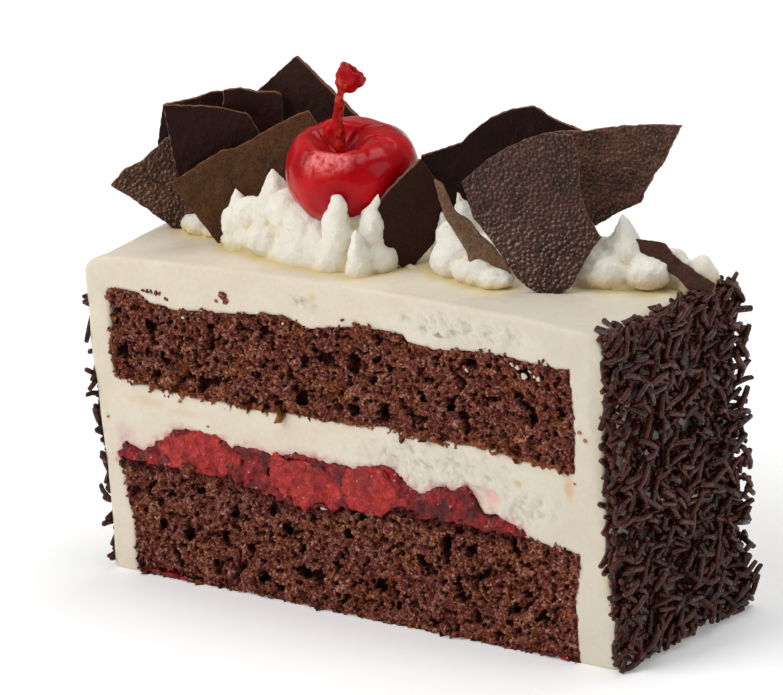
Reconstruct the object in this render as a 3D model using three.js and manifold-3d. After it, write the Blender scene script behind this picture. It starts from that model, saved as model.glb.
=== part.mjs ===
// A cut slice of black forest cake: two chocolate sponges with whipped cream and
// cherries between them, cream icing with chocolate sprinkles on both ends, and piped
// cream, a cherry and chocolate shards on top.
// Millimetres, +Z up. X runs along the slice and Y across it. The front cut face is at
// -Y, and the origin is the middle of the flat base.
import * as THREE from "three";
import { mergeVertices } from "three/addons/utils/BufferGeometryUtils.js";
import Module from "manifold-3d";

const wasm = await Module();
wasm.setup();

// ---------------------------------------------------------------- driving dimensions

const DEPTH = 38;
const GAP = 0.3;

// The sponges' cut ends. Near the base the bottom sponge stands in from them.
const SPONGE_LEFT = -54;
const SPONGE_RIGHT = 51;
const FOOT_IN_LEFT = 2.2;
const FOOT_IN_RIGHT = 1.4;
const JAM_END = 39;

const ICING_LEFT = -58;
const ICING_RIGHT = 57.2;
const ICING_CORNER = 3.4;

const SPRINKLE_LENGTH = 5.4;
const SPRINKLE_RADIUS = 0.62;

const CHERRY_RADIUS = 12.2;
const CHERRY_CENTRE = [-8.3, -1.5, 78.7];
const STEM_RADIUS = 0.9;

const SHARD_THICKNESS = 1.1;

// How far a curved body may be simplified, and how close two of its corners may lie.
const SIMPLIFY = 0.01;
const MERGE = 1e-4;

// ---------------------------------------------------------------- solids and meshes

function solidOf(geometry) {
  const bare = geometry.index ? geometry.toNonIndexed() : geometry.clone();
  bare.deleteAttribute("normal");
  bare.deleteAttribute("uv");
  const merged = mergeVertices(bare, MERGE);
  return new wasm.Manifold(new wasm.Mesh({
    numProp: 3,
    vertProperties: new Float32Array(merged.attributes.position.array),
    triVerts: new Uint32Array(merged.index.array),
  }));
}

function largestBody(solid) {
  const bodies = solid.decompose();
  return bodies.reduce((best, body) => (body.volume() > best.volume() ? body : best));
}

function geometryOf(solid) {
  const mesh = largestBody(solid).simplify(SIMPLIFY).getMesh();
  const geometry = new THREE.BufferGeometry();
  geometry.setAttribute("position", new THREE.BufferAttribute(mesh.vertProperties, 3));
  geometry.setIndex(new THREE.BufferAttribute(mesh.triVerts, 1));
  return geometry;
}

function union(solids) {
  return solids.reduce((whole, solid) => whole.add(solid));
}

function cutBy(solid, cutters) {
  return cutters.reduce((rest, cutter) => rest.subtract(cutter), solid);
}

const slice = new THREE.Group();

function place(name, solid, material) {
  const mesh = new THREE.Mesh(geometryOf(solid), material);
  mesh.name = name;
  slice.add(mesh);
}

function finish(colour, roughness) {
  return new THREE.MeshStandardMaterial({ color: colour, roughness, metalness: 0 });
}

const spongeFinish = finish(0x4a2a1f, 0.95);
const creamFinish = finish(0xf6f0da, 0.55);
const jamFinish = finish(0x5c0b16, 0.3);
const cherryFinish = finish(0xb3121f, 0.15);
const stemFinish = finish(0xb8392a, 0.5);
const chocolateFinish = finish(0x2e1a15, 0.4);

// Numbers from 0 to 1 that are the same each time (mulberry32).
function seededRandom(seed) {
  let state = seed;
  return () => {
    state = (state + 0x6d2b79f5) | 0;
    let mixed = Math.imul(state ^ (state >>> 15), 1 | state);
    mixed = (mixed + Math.imul(mixed ^ (mixed >>> 7), 61 | mixed)) ^ mixed;
    return ((mixed ^ (mixed >>> 14)) >>> 0) / 4294967296;
  };
}

// ---------------------------------------------------------------- the layers

function smoothLine(points, steps) {
  const line = new THREE.SplineCurve(points.map(([x, z]) => new THREE.Vector2(x, z)));
  return line.getPoints(steps).map((point) => [point.x, point.y]);
}

function raised(points, rise) {
  return points.map(([x, z]) => [x, z + rise]);
}

// Each border between two layers is a smooth line of [x, height] across the cut face.
const BORDER_STEPS = 20;
const bottomSpongeTop = smoothLine([
  [-54, 22.2], [-46, 21.9], [-37, 21.7], [-28, 22], [-20.8, 20.5], [-9.5, 19.1], [-1.7, 20.4],
  [11, 22.6], [18.6, 21.2], [24, 22], [31, 21.2], [37.2, 21.8], [45.4, 21.1], [51, 20.4],
], BORDER_STEPS);
const jamTop = smoothLine([
  [-53.5, 23.4], [-51.5, 25.3], [-47.2, 24], [-42.5, 27.5], [-38.6, 29.6], [-33.7, 30.1],
  [-29.5, 29.6], [-23.9, 27.5], [-15, 28.8], [-5.6, 28.8], [1.4, 27.7], [7.7, 30], [10.7, 29.6],
  [15.4, 26], [19.7, 27.7], [23, 27.3], [26.5, 29], [30, 24.6], [33, 24.8], [37.2, 23],
], BORDER_STEPS);
const topSpongeBottom = smoothLine([
  [-54, 37.6], [-46, 36.4], [-35, 36], [-22.6, 35.7], [0, 36.3], [11, 36.5], [18.6, 35.6],
  [31, 36.3], [39.8, 35], [51, 34.3],
], BORDER_STEPS);
const topSpongeTop = smoothLine([
  [-54, 54.6], [-47, 55], [-40.5, 52.9], [-24, 53.9], [-12.5, 55], [-6.5, 53.4], [2.7, 54.9],
  [13.6, 55.2], [18, 53.5], [34, 54.5], [44.3, 53.6], [51, 53.8],
], BORDER_STEPS);
const JAM_START_TOP = 22.8;
const JAM_END_TOP = 22.2;
const FOOT_HEIGHT = 10;
const HALF_GAP = GAP / 2;

// An outline drawn in X and Z becomes a solid from -depth/2 to depth/2 along Y.
function slab(outline, depth) {
  const shape = new THREE.Shape(outline.map(([x, z]) => new THREE.Vector2(x, z)));
  const geometry = new THREE.ExtrudeGeometry(shape, { depth, bevelEnabled: false, steps: 1 });
  geometry.translate(0, 0, -depth / 2);
  geometry.rotateX(Math.PI / 2);
  return solidOf(geometry);
}

function layer(lowerLine, upperLine) {
  return slab([...lowerLine, ...upperLine.toReversed()], DEPTH);
}

const bottomSponge = layer(
  [[SPONGE_LEFT + FOOT_IN_LEFT, 0], [SPONGE_RIGHT - FOOT_IN_RIGHT, 0]],
  [
    [SPONGE_LEFT + FOOT_IN_LEFT, FOOT_HEIGHT],
    ...raised(bottomSpongeTop, -HALF_GAP),
    [SPONGE_RIGHT - FOOT_IN_RIGHT, FOOT_HEIGHT],
  ],
);
const topSponge = layer(raised(topSpongeBottom, HALF_GAP), raised(topSpongeTop, -HALF_GAP));
const jam = layer(
  raised(bottomSpongeTop.filter(([x]) => x < JAM_END), HALF_GAP),
  [[SPONGE_LEFT, JAM_START_TOP], ...raised(jamTop, -HALF_GAP), [JAM_END, JAM_END_TOP]],
);

// The cream between the sponges lies on the jam, and on the bottom sponge past its end.
const creamBetween = layer([
  [SPONGE_LEFT, JAM_START_TOP + GAP],
  ...raised(jamTop, HALF_GAP),
  [JAM_END + GAP, JAM_END_TOP],
  ...raised(bottomSpongeTop.filter(([x]) => x > JAM_END + GAP), HALF_GAP),
], raised(topSpongeBottom, -HALF_GAP));

// ---------------------------------------------------------------- cherries in the filling

// [x, height, half width, half height, tilt in degrees], pressed flat between the layers.
const FRONT_CHERRIES = [
  [-35, 26, 9.3, 4.1, 7], [-10, 24.1, 9.6, 4.8, -4], [5.6, 25, 7.2, 4.4, 9],
];
const BACK_CHERRIES = [[-28, 25.7, 9, 4, -6], [2, 24.4, 9.4, 4.6, 5], [20, 24.6, 7.6, 3.6, -5]];
const FILLING_CHERRY_REACH = 7;
const FILLING_CHERRY_INSET = 3;

function fillingCherry([x, z, halfWidth, halfHeight, tilt], side, grow) {
  const geometry = new THREE.SphereGeometry(1, 8, 6);
  geometry.scale(halfWidth + grow, FILLING_CHERRY_REACH + grow, halfHeight + grow);
  geometry.rotateY(-THREE.MathUtils.degToRad(tilt));
  geometry.translate(x, side * (DEPTH / 2 - FILLING_CHERRY_INSET), z);
  return solidOf(geometry);
}

// The cherries are cut level with the cake's front and back.
const fillingSpace = layer(
  [[SPONGE_LEFT, 0], [SPONGE_RIGHT, 0]],
  [[SPONGE_LEFT, topSpongeBottom[0][1]], [SPONGE_RIGHT, topSpongeBottom[0][1]]],
);
const fillingCherries = [];
const cherryHollows = [];
for (const [specs, side, label] of [[FRONT_CHERRIES, -1, "front"], [BACK_CHERRIES, 1, "back"]]) {
  specs.forEach((spec, index) => {
    fillingCherries.push({
      name: `filling_cherry_${label}_${index + 1}`,
      solid: cutBy(fillingCherry(spec, side, 0).intersect(fillingSpace), cherryHollows),
    });
    cherryHollows.push(fillingCherry(spec, side, GAP));
  });
}

// ---------------------------------------------------------------- icing with sprinkles

// The icing is one coat over the top and both ends, cut open at the front and back.
// Its lines of [x, height] run upwards on both ends, and to the right along the top.
const icingRightEnd = [
  [ICING_RIGHT + 0.2, 0], [ICING_RIGHT + 0.8, 8], [ICING_RIGHT - 0.6, 18], [ICING_RIGHT, 27],
  [ICING_RIGHT - 0.2, 40], [ICING_RIGHT + 0.9, 50],
];
const icingLeftEnd = [
  [ICING_LEFT + 0.5, 0], [ICING_LEFT + 1, 11], [ICING_LEFT + 0.6, 20], [ICING_LEFT - 0.2, 30],
  [ICING_LEFT - 0.7, 40], [ICING_LEFT - 0.8, 50],
];
const DOME_STEPS = 12;
const icingTop = smoothLine([
  [ICING_LEFT - 0.9 + ICING_CORNER, 60.3], [-38, 61.5], [-15, 62.1], [2, 62.3], [16, 62.1],
  [25, 61.5], [36, 60.6], [ICING_RIGHT + 1 - ICING_CORNER, 59.9],
], DOME_STEPS);
const BEND_HEIGHT = 21;
const icingInside = [
  [SPONGE_LEFT - GAP + FOOT_IN_LEFT, 0],
  [SPONGE_LEFT - GAP + FOOT_IN_LEFT, FOOT_HEIGHT],
  [SPONGE_LEFT - GAP, BEND_HEIGHT],
  [SPONGE_LEFT - GAP, topSpongeTop[0][1] + HALF_GAP],
  ...raised(topSpongeTop, HALF_GAP),
  [SPONGE_RIGHT + GAP, topSpongeTop.at(-1)[1] + HALF_GAP],
  [SPONGE_RIGHT + GAP, BEND_HEIGHT - 1],
  [SPONGE_RIGHT + GAP - FOOT_IN_RIGHT, FOOT_HEIGHT],
  [SPONGE_RIGHT + GAP - FOOT_IN_RIGHT, 0],
];

// A rounded corner past one end of the top line, `direction` 1 to the right, -1 to the left.
function corner([x, z], direction) {
  return [0, 0.25, 0.5, 0.75].map((turn) => {
    const angle = (turn * Math.PI) / 2;
    return [
      x + direction * ICING_CORNER * Math.cos(angle),
      z - ICING_CORNER + ICING_CORNER * Math.sin(angle),
    ];
  });
}

const icingCoat = slab([
  ...icingRightEnd, ...corner(icingTop.at(-1), 1), ...icingTop.toReversed(),
  ...corner(icingTop[0], -1).toReversed(), ...icingLeftEnd.toReversed(), ...icingInside,
], DEPTH);

// All the space up to a gap above the icing. What stands on the icing is cut by it.
const PAST_END = 8;
const underTopping = slab([
  [ICING_LEFT - PAST_END, 0], [ICING_RIGHT + PAST_END, 0],
  [ICING_RIGHT + PAST_END, icingTop.at(-1)[1] + GAP],
  ...raised(icingTop.toReversed(), GAP),
  [ICING_LEFT - PAST_END, icingTop[0][1] + GAP],
], DEPTH + PAST_END);

// Sprinkles lie every way round on an end, pressed into the icing, some standing out.
const SPRINKLE_ROWS = 12;
const SPRINKLES_PER_ROW = 8;
const SPRINKLE_SIDES = 5;
const SPRINKLE_MARGIN = 1.5;
const SPRINKLE_SHIFT = 0.25;
const SPRINKLE_LIFT = 0.1;
const MOST_STANDING = 0.6;
const ABOVE_BASE = 0.05;

function sprinkle(length, radius) {
  const tipLength = radius * 0.6;
  return new THREE.LatheGeometry([
    new THREE.Vector2(0, -length / 2), new THREE.Vector2(radius, -length / 2 + tipLength),
    new THREE.Vector2(radius, length / 2 - tipLength), new THREE.Vector2(0, length / 2),
  ], SPRINKLE_SIDES);
}

// The x of an upward line at a height.
function endAt(line, height) {
  const above = line.findIndex(([, z]) => z >= height);
  if (above < 0) return line.at(-1)[0];
  const [lowX, lowZ] = line[above - 1];
  const [highX, highZ] = line[above];
  return THREE.MathUtils.mapLinear(height, lowZ, highZ, lowX, highX);
}

// Moves a sprinkle that stands out past the base, the front or the back.
function keptOnEnd(geometry) {
  geometry.computeBoundingBox();
  const { min, max } = geometry.boundingBox;
  const pastFront = Math.max(0, -DEPTH / 2 - min.y);
  const pastBack = Math.max(0, max.y - DEPTH / 2);
  geometry.translate(0, pastFront - pastBack, Math.max(0, ABOVE_BASE - min.z));
  return geometry;
}

function sprinkledEnd(endLine, outward, seed) {
  const random = seededRandom(seed);
  const shifted = () => SPRINKLE_SHIFT * (2 * random() - 1);
  const rowHeight = (icingTop[0][1] - 2 * SPRINKLE_MARGIN) / SPRINKLE_ROWS;
  const columnWidth = (DEPTH - 2 * SPRINKLE_MARGIN) / SPRINKLES_PER_ROW;
  const sprinkles = [];
  for (let row = 0; row < SPRINKLE_ROWS; row++) {
    const stagger = row % 2 ? SPRINKLE_SHIFT : -SPRINKLE_SHIFT;
    for (let column = 0; column < SPRINKLES_PER_ROW; column++) {
      const across = SPRINKLE_MARGIN + (column + 0.5 + stagger + shifted()) * columnWidth;
      const height = 2 * SPRINKLE_MARGIN + (row + 0.5 + shifted()) * rowHeight;
      const standing = MOST_STANDING * random() ** 2;
      const length = SPRINKLE_LENGTH * THREE.MathUtils.lerp(0.8, 1.2, random());
      const radius = SPRINKLE_RADIUS * THREE.MathUtils.lerp(0.9, 1.15, random());
      const geometry = sprinkle(length, radius);
      geometry.rotateZ(standing * outward);
      geometry.rotateX(random() * Math.PI);
      const lift = SPRINKLE_LIFT + 0.4 * length * Math.sin(standing);
      geometry.translate(endAt(endLine, height) + outward * lift, across - DEPTH / 2, height);
      sprinkles.push(solidOf(keptOnEnd(geometry)));
    }
  }
  return union(sprinkles);
}

const icing = icingCoat
  .add(sprinkledEnd(icingRightEnd, 1, 11))
  .add(sprinkledEnd(icingLeftEnd, -1, 23));

// ---------------------------------------------------------------- chocolate shards

// A shard stands on `foot`, faces the way its `heading` says and leans back by `lean`
// degrees. Its outline is [along, up] in its own plane. A `curl` is the radius it is
// bent to about an upright line at `curlAt`, hollow to the front where positive.
const SHARDS = {
  shard_left_low: {
    foot: [-51, 0.4, 61.2], heading: 39, lean: 3, curl: -60, curlAt: -4,
    outline: [[-13, 9], [-10, 12], [-6.5, 13.5], [-5, 15], [-3.5, 16], [-2, 17.5], [1.5, 16.5],
      [4.5, 8], [3, 1], [0.5, -0.5], [-1, -0.5], [-4.5, 2.5], [-7.5, 5], [-10, 7]],
  },
  shard_left_square: {
    foot: [-42.5, 0.3, 61.5], heading: 36, lean: 4, curl: 90, curlAt: 0,
    outline: [[-8.5, 24.5], [-3, 24], [1.5, 23.5], [7, 22], [8.5, 19], [9.5, 15], [4.5, 8],
      [-3, 3.5], [-5.5, 7], [-7, 12]],
  },
  shard_left_back: {
    foot: [-52.5, 9.4, 61.5], heading: 34, lean: 0, curl: -70, curlAt: 0,
    outline: [[-7, 21.5], [-1, 22.5], [2, 23.5], [7, 23.5], [6, 12], [0.5, 2.5], [-3.5, 2.5],
      [-8.5, 14], [-8, 16.5]],
  },
  shard_left_curl: {
    foot: [-42.3, 7, 61.1], heading: 32, lean: 0, curl: 15, curlAt: 6,
    outline: [[-1.5, 26.5], [1.5, 26.5], [4.5, 25.5], [7.5, 25.5], [9, 25], [9, 19.5], [8, 12.5],
      [2, 3.5], [-0.5, 5], [-2, 15]],
  },
  shard_left_peak: {
    foot: [-36, 14.4, 61.5], heading: 12, lean: -2, curl: 150, curlAt: 4,
    outline: [[3.5, 31.5], [-5, 24.5], [-10, 20], [-8, 9], [-3, 2.5], [3.5, 2.5], [17.5, 12.5],
      [19.5, 17], [15.5, 20.5], [11, 24.5]],
  },
  shard_left_front: {
    foot: [-39.1, -3.9, 61.6], heading: 33, lean: 6, curl: 110, curlAt: 6,
    outline: [[-8, 11], [-2, 14.5], [1.5, 16.5], [4.5, 17], [7.5, 18.5], [12, 21], [18, 23.5],
      [19.5, 21], [20, 18], [15.5, 9.5], [3.5, 3], [2, 1.5], [0, -0.5]],
  },
  shard_right_dark: {
    foot: [5.2, -4.2, 62.6], heading: 56, lean: 0, curl: -80, curlAt: 0,
    outline: [[-7, 6.5], [-4, 13], [-0.5, 16], [3.5, 19], [6.5, 14.5], [7.5, 3.5], [4.5, 3],
      [1, -0.5], [-1, -0.5]],
  },
  shard_right_curved: {
    foot: [13, 10.5, 62], heading: 28, lean: 0, curl: 38, curlAt: 9,
    outline: [[-11, 19.5], [-4, 21], [-2.5, 22.5], [1, 25], [5, 26.5], [9, 27], [12.5, 24.5],
      [17.5, 22.5], [16.5, 9.5], [8.5, 2.5], [-3.5, 3], [-11, 10.5]],
  },
  shard_right_front: {
    foot: [36.3, -4.6, 60.9], heading: 28, lean: 10, curl: -60, curlAt: -2,
    outline: [[-15, 20], [-10, 24], [-6.5, 26], [-3, 27.5], [0.5, 28.5], [5, 28], [6, 23.5],
      [6, 18.5], [7, 14.5], [9.5, 10], [7.5, 7.5], [4, 1.5], [1.5, 0], [0, 0], [-3.5, 1.5],
      [-6, 4], [-9.5, 9.5], [-13, 14], [-14, 17.5]],
  },
  shard_right_narrow: {
    foot: [25.5, -4.6, 63.2], heading: 42, lean: 14, curl: 40, curlAt: -3,
    outline: [[-10, 18], [-9.5, 15.5], [-8.5, 11], [-6, 6.5], [-5, 4], [-4.5, 1.5], [-3, 0],
      [-1, -0.5], [1, -1], [2.5, 0.5], [1.5, 2.5], [0, 5], [-2.5, 7.5], [-4, 10], [-6.5, 12],
      [-8.5, 17]],
  },
  shard_right_back: {
    foot: [45, 12, 61.5], heading: 18, lean: 4, curl: 60, curlAt: -2,
    outline: [[-17.5, 25], [-14.5, 25.5], [-10, 25.5], [-3.5, 26.5], [3.5, 27], [8, 27],
      [6, 23.5], [4.5, 20.5], [2.5, 18], [0.5, 14.5], [0, 13], [-4.5, 11], [-8.5, 8.5],
      [-13, 15]],
  },
  shard_right_strip: {
    foot: [61, 11, 61.6], heading: 20, lean: 24, curl: 0, curlAt: 0,
    outline: [[-16, 8], [-14, 8], [-9.5, 7.5], [-8, 5.5], [-3.5, 2.5], [0, 0.5], [-0.5, -1],
      [-5, -0.5], [-7, 1.5], [-11, 3.5], [-15.5, 6]],
  },
};

const CURL_STEPS = 6;
const SHARD_SLOT = 0.45;
const SHEET_MARGIN = 2;

// A flat sheet is bent to the shard's curl, cut to its outline, then stood in place. A
// slot for it is the same with `grow` more on every side.
function shardSolid({ foot, heading, lean, curl, curlAt, outline }, grow) {
  const shape = new THREE.Shape(outline.map(([along, up]) => new THREE.Vector2(along, up)));
  const box = new THREE.Box2().setFromPoints(shape.getPoints());
  const middle = box.getCenter(new THREE.Vector2());
  const size = box.getSize(new THREE.Vector2());
  const width = size.x + 2 * SHEET_MARGIN;
  const height = size.y + 2 * SHEET_MARGIN;
  const sheet = new THREE.BoxGeometry(
    width, height, SHARD_THICKNESS + 2 * grow, CURL_STEPS, 1, 1,
  );
  sheet.translate(middle.x, middle.y, 0);
  const corners = sheet.attributes.position;
  for (let index = 0; curl !== 0 && index < corners.count; index++) {
    const away = corners.getX(index) - curlAt;
    corners.setZ(index, corners.getZ(index) + (away * away) / (2 * curl));
  }
  const cutter = new THREE.ExtrudeGeometry(shape, { depth: 2 * width, bevelEnabled: false });
  cutter.translate(-middle.x, -middle.y, -width);
  cutter.scale(1 + (2 * grow) / size.x, 1 + (2 * grow) / size.y, 1);
  cutter.translate(middle.x, middle.y, 0);
  const stand = new THREE.Matrix4().makeTranslation(...foot)
    .multiply(new THREE.Matrix4().makeRotationZ(THREE.MathUtils.degToRad(heading)))
    .multiply(new THREE.Matrix4().makeRotationX(THREE.MathUtils.degToRad(90 - lean)));
  return solidOf(sheet).intersect(solidOf(cutter)).transform(stand.elements);
}

// ---------------------------------------------------------------- cherry and stem

// The cherry is drawn facing -Y, leans forward, and is then turned to face the corner.
// Its profile is [radius, height]. The dimple lies to one side of its middle.
const CHERRY_LEAN = THREE.MathUtils.degToRad(12);
const CHERRY_FACING = THREE.MathUtils.degToRad(39);
const DIMPLE_SHIFT = -2;
const CHERRY_PROFILE = [
  [0, -7], [5, -6.6], [8.6, -5.1], [11.2, -2.6], [CHERRY_RADIUS, 0.2], [11.5, 2.9],
  [9.4, 4.9], [7.2, 5.5], [4.9, 4.6], [2.7, 3.2], [0, 2.6],
];
const CHERRY_SIDES = 16;
const FIRST_SHIFTED_RING = 4;
const LAST_SHIFTED_RING = 8;

function onSlice(geometry) {
  geometry.rotateZ(CHERRY_FACING);
  geometry.translate(...CHERRY_CENTRE);
  return solidOf(geometry);
}

function cherryBody(grow) {
  const profile = CHERRY_PROFILE.map(([radius, height]) => new THREE.Vector2(radius, height));
  const geometry = new THREE.LatheGeometry(profile, CHERRY_SIDES);
  const scale = 1 + grow / CHERRY_RADIUS;
  geometry.scale(scale, scale, scale);
  const position = geometry.attributes.position;
  for (let index = 0; index < position.count; index++) {
    const ring = index % profile.length;
    const share = THREE.MathUtils.smoothstep(ring, FIRST_SHIFTED_RING, LAST_SHIFTED_RING);
    position.setX(index, position.getX(index) + DIMPLE_SHIFT * share);
  }
  geometry.rotateX(Math.PI / 2 + CHERRY_LEAN);
  return onSlice(geometry);
}

function stemBody() {
  const route = new THREE.CatmullRomCurve3([
    new THREE.Vector3(DIMPLE_SHIFT, -0.6, 2), new THREE.Vector3(DIMPLE_SHIFT + 0.1, -0.6, 6),
    new THREE.Vector3(DIMPLE_SHIFT + 0.3, -0.6, 11), new THREE.Vector3(-0.6, -0.6, 14.8),
  ]);
  const section = new THREE.Shape().absarc(0, 0, STEM_RADIUS, 0, 2 * Math.PI);
  const stalk = new THREE.ExtrudeGeometry(section, {
    steps: 6, bevelEnabled: false, extrudePath: route, curveSegments: 4,
  });
  const knob = new THREE.LatheGeometry([
    new THREE.Vector2(0, -2.4), new THREE.Vector2(1.3, -1.9), new THREE.Vector2(2.4, -0.2),
    new THREE.Vector2(2.5, 1.5), new THREE.Vector2(1.8, 1.8), new THREE.Vector2(1.1, 0.8),
    new THREE.Vector2(0, 0.6),
  ], 9);
  knob.rotateX(Math.PI / 2);
  knob.rotateY(THREE.MathUtils.degToRad(40));
  knob.translate(0.5, -0.6, 16);
  return onSlice(stalk).add(onSlice(knob)).subtract(cherryBody(GAP));
}

// ---------------------------------------------------------------- piped cream

// One pull of the piping bag: a ridged mound on [x, y] whose top is drawn to a tip at
// [x, y, z]. A `point` of 0 leaves the top round, and 1 makes it sharp.
const PIPED_BASE = 59;
const PIPED_RINGS = 4;
const PIPED_SIDES = 8;
const PIPED_RIDGE = 0.16;

function pull({ at, radius, tip, point }) {
  const positions = [at[0], at[1], PIPED_BASE];
  for (let ring = 0; ring < PIPED_RINGS; ring++) {
    const up = ring / PIPED_RINGS;
    const round = Math.sqrt(Math.max(0, 1 - up * up));
    const sharp = 1 - up;
    const reach = radius * THREE.MathUtils.lerp(round, sharp, point * up);
    const drift = up * up;
    for (let side = 0; side < PIPED_SIDES; side++) {
      const angle = (side / PIPED_SIDES) * 2 * Math.PI;
      const ridged = reach * (side % 2 ? 1 - PIPED_RIDGE : 1 + PIPED_RIDGE);
      positions.push(
        THREE.MathUtils.lerp(at[0], tip[0], drift) + ridged * Math.cos(angle),
        THREE.MathUtils.lerp(at[1], tip[1], drift) + ridged * Math.sin(angle),
        THREE.MathUtils.lerp(PIPED_BASE, tip[2], up),
      );
    }
  }
  positions.push(...tip);
  const apex = positions.length / 3 - 1;
  const faces = [];
  for (let side = 0; side < PIPED_SIDES; side++) {
    const next = (side + 1) % PIPED_SIDES;
    faces.push(0, 1 + next, 1 + side);
    for (let ring = 0; ring < PIPED_RINGS - 1; ring++) {
      const low = 1 + ring * PIPED_SIDES;
      const high = low + PIPED_SIDES;
      faces.push(low + side, low + next, high + next, low + side, high + next, high + side);
    }
    const last = 1 + (PIPED_RINGS - 1) * PIPED_SIDES;
    faces.push(last + side, last + next, apex);
  }
  const geometry = new THREE.BufferGeometry();
  geometry.setAttribute("position", new THREE.Float32BufferAttribute(positions, 3));
  geometry.setIndex(faces);
  return solidOf(geometry);
}

const PIPED_CREAM = {
  cream_under_cherry: [
    { at: [-14, -2], radius: 13, tip: [-13, -2, 76], point: 0.1 },
    { at: [-28, -3], radius: 9, tip: [-27, -2, 71], point: 0.1 },
    { at: [-32.5, -5.5], radius: 5, tip: [-33.4, -5, 72.3], point: 1 },
    { at: [-25, -2], radius: 5, tip: [-26.3, -2, 76.6], point: 1 },
    { at: [-19.5, -8.5], radius: 5.2, tip: [-17.4, -8, 74.6], point: 0.7 },
    { at: [-26, -8.5], radius: 5, tip: [-26, -8.5, 70], point: 0.5 },
    { at: [-13, -9], radius: 4.6, tip: [-12.6, -10.4, 71.6], point: 0.5 },
    { at: [-6, -10], radius: 5, tip: [-4.2, -11.6, 76.4], point: 0.3 },
    { at: [-0.8, -8.2], radius: 3.7, tip: [2.4, -8, 76.2], point: 0.6 },
    { at: [-0.5, -11], radius: 3.6, tip: [1.2, -12.8, 68], point: 0.3 },
    { at: [-3, 4], radius: 5, tip: [-0.5, 6, 73.5], point: 0.7 },
    { at: [-11, 7.5], radius: 5, tip: [-9.5, 11, 74.2], point: 0.7 },
    { at: [-20.5, 5.5], radius: 4.8, tip: [-21.5, 7, 72.4], point: 0.7 },
  ],
  cream_middle: [
    { at: [11.5, -1.5], radius: 6.4, tip: [10.4, -2, 67.4], point: 0.2 },
    { at: [11, 2.5], radius: 5.2, tip: [9.3, 1, 71.8], point: 0.9 },
    { at: [14.5, 2.5], radius: 5.4, tip: [13.4, 1, 75.8], point: 1 },
    { at: [19.5, 2.5], radius: 8, tip: [19, 2.5, 68.5], point: 0.3 },
    { at: [24.8, -4.6], radius: 5, tip: [25.4, -5, 63.9], point: 0 },
  ],
  cream_right: [
    { at: [37.5, 9], radius: 8.6, tip: [38, 9, 68.5], point: 0.2 },
    { at: [42.5, 8.5], radius: 6, tip: [41.6, 8, 67.6], point: 0.2 },
    { at: [43, 9.6], radius: 5.2, tip: [44, 8, 73.8], point: 0.9 },
    { at: [46.5, 12.5], radius: 4.8, tip: [47.5, 12, 65.8], point: 0.3 },
    { at: [40, 14], radius: 4.8, tip: [39, 15, 71], point: 0.7 },
    { at: [54.5, 14], radius: 4.4, tip: [56.8, 14, 66.2], point: 0.4 },
    { at: [50, 14], radius: 4.4, tip: [50.2, 14, 66.8], point: 0.3 },
  ],
  cream_left: [
    { at: [-41.5, 8.6], radius: 7.4, tip: [-41, 8.4, 70], point: 0.2 },
    { at: [-45, 4], radius: 5.4, tip: [-45.2, 3.6, 67.5], point: 0.3 },
    { at: [-50, 9.4], radius: 6, tip: [-50.5, 10, 68.5], point: 0.3 },
    { at: [-36, 13], radius: 5, tip: [-35, 13.6, 69.6], point: 0.5 },
    { at: [-45.5, 13], radius: 4.8, tip: [-46.5, 14.5, 72], point: 0.8 },
  ],
};

// ---------------------------------------------------------------- the slice

place("sponge_bottom", cutBy(bottomSponge, cherryHollows), spongeFinish);
place("cherry_filling", cutBy(jam, cherryHollows), jamFinish);
fillingCherries.forEach(({ name, solid }) => place(name, solid, cherryFinish));
place("cream_filling", cutBy(creamBetween, cherryHollows), creamFinish);
place("sponge_top", topSponge, spongeFinish);
place("icing", icing, creamFinish);

const shardSlots = Object.values(SHARDS).map((spec) => shardSolid(spec, SHARD_SLOT));
for (const [name, pulls] of Object.entries(PIPED_CREAM)) {
  const cream = union(pulls.map(pull));
  place(name, cutBy(cream, [underTopping, cherryBody(GAP), ...shardSlots]), creamFinish);
}
place("cherry", cherryBody(0), cherryFinish);
place("cherry_stem", stemBody(), stemFinish);
for (const [name, spec] of Object.entries(SHARDS)) {
  place(name, shardSolid(spec, 0).subtract(underTopping), chocolateFinish);
}

export default slice;
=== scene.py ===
# A cut slice of black forest cake, finished over its CAD frame.
# Metres, +Z up. X runs along the slice, Y across it, and the front cut face is at -Y.
import math
import random
from contextlib import contextmanager

import bpy
import numpy as np
from mathutils import Matrix, Vector
from mathutils.kdtree import KDTree


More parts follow.
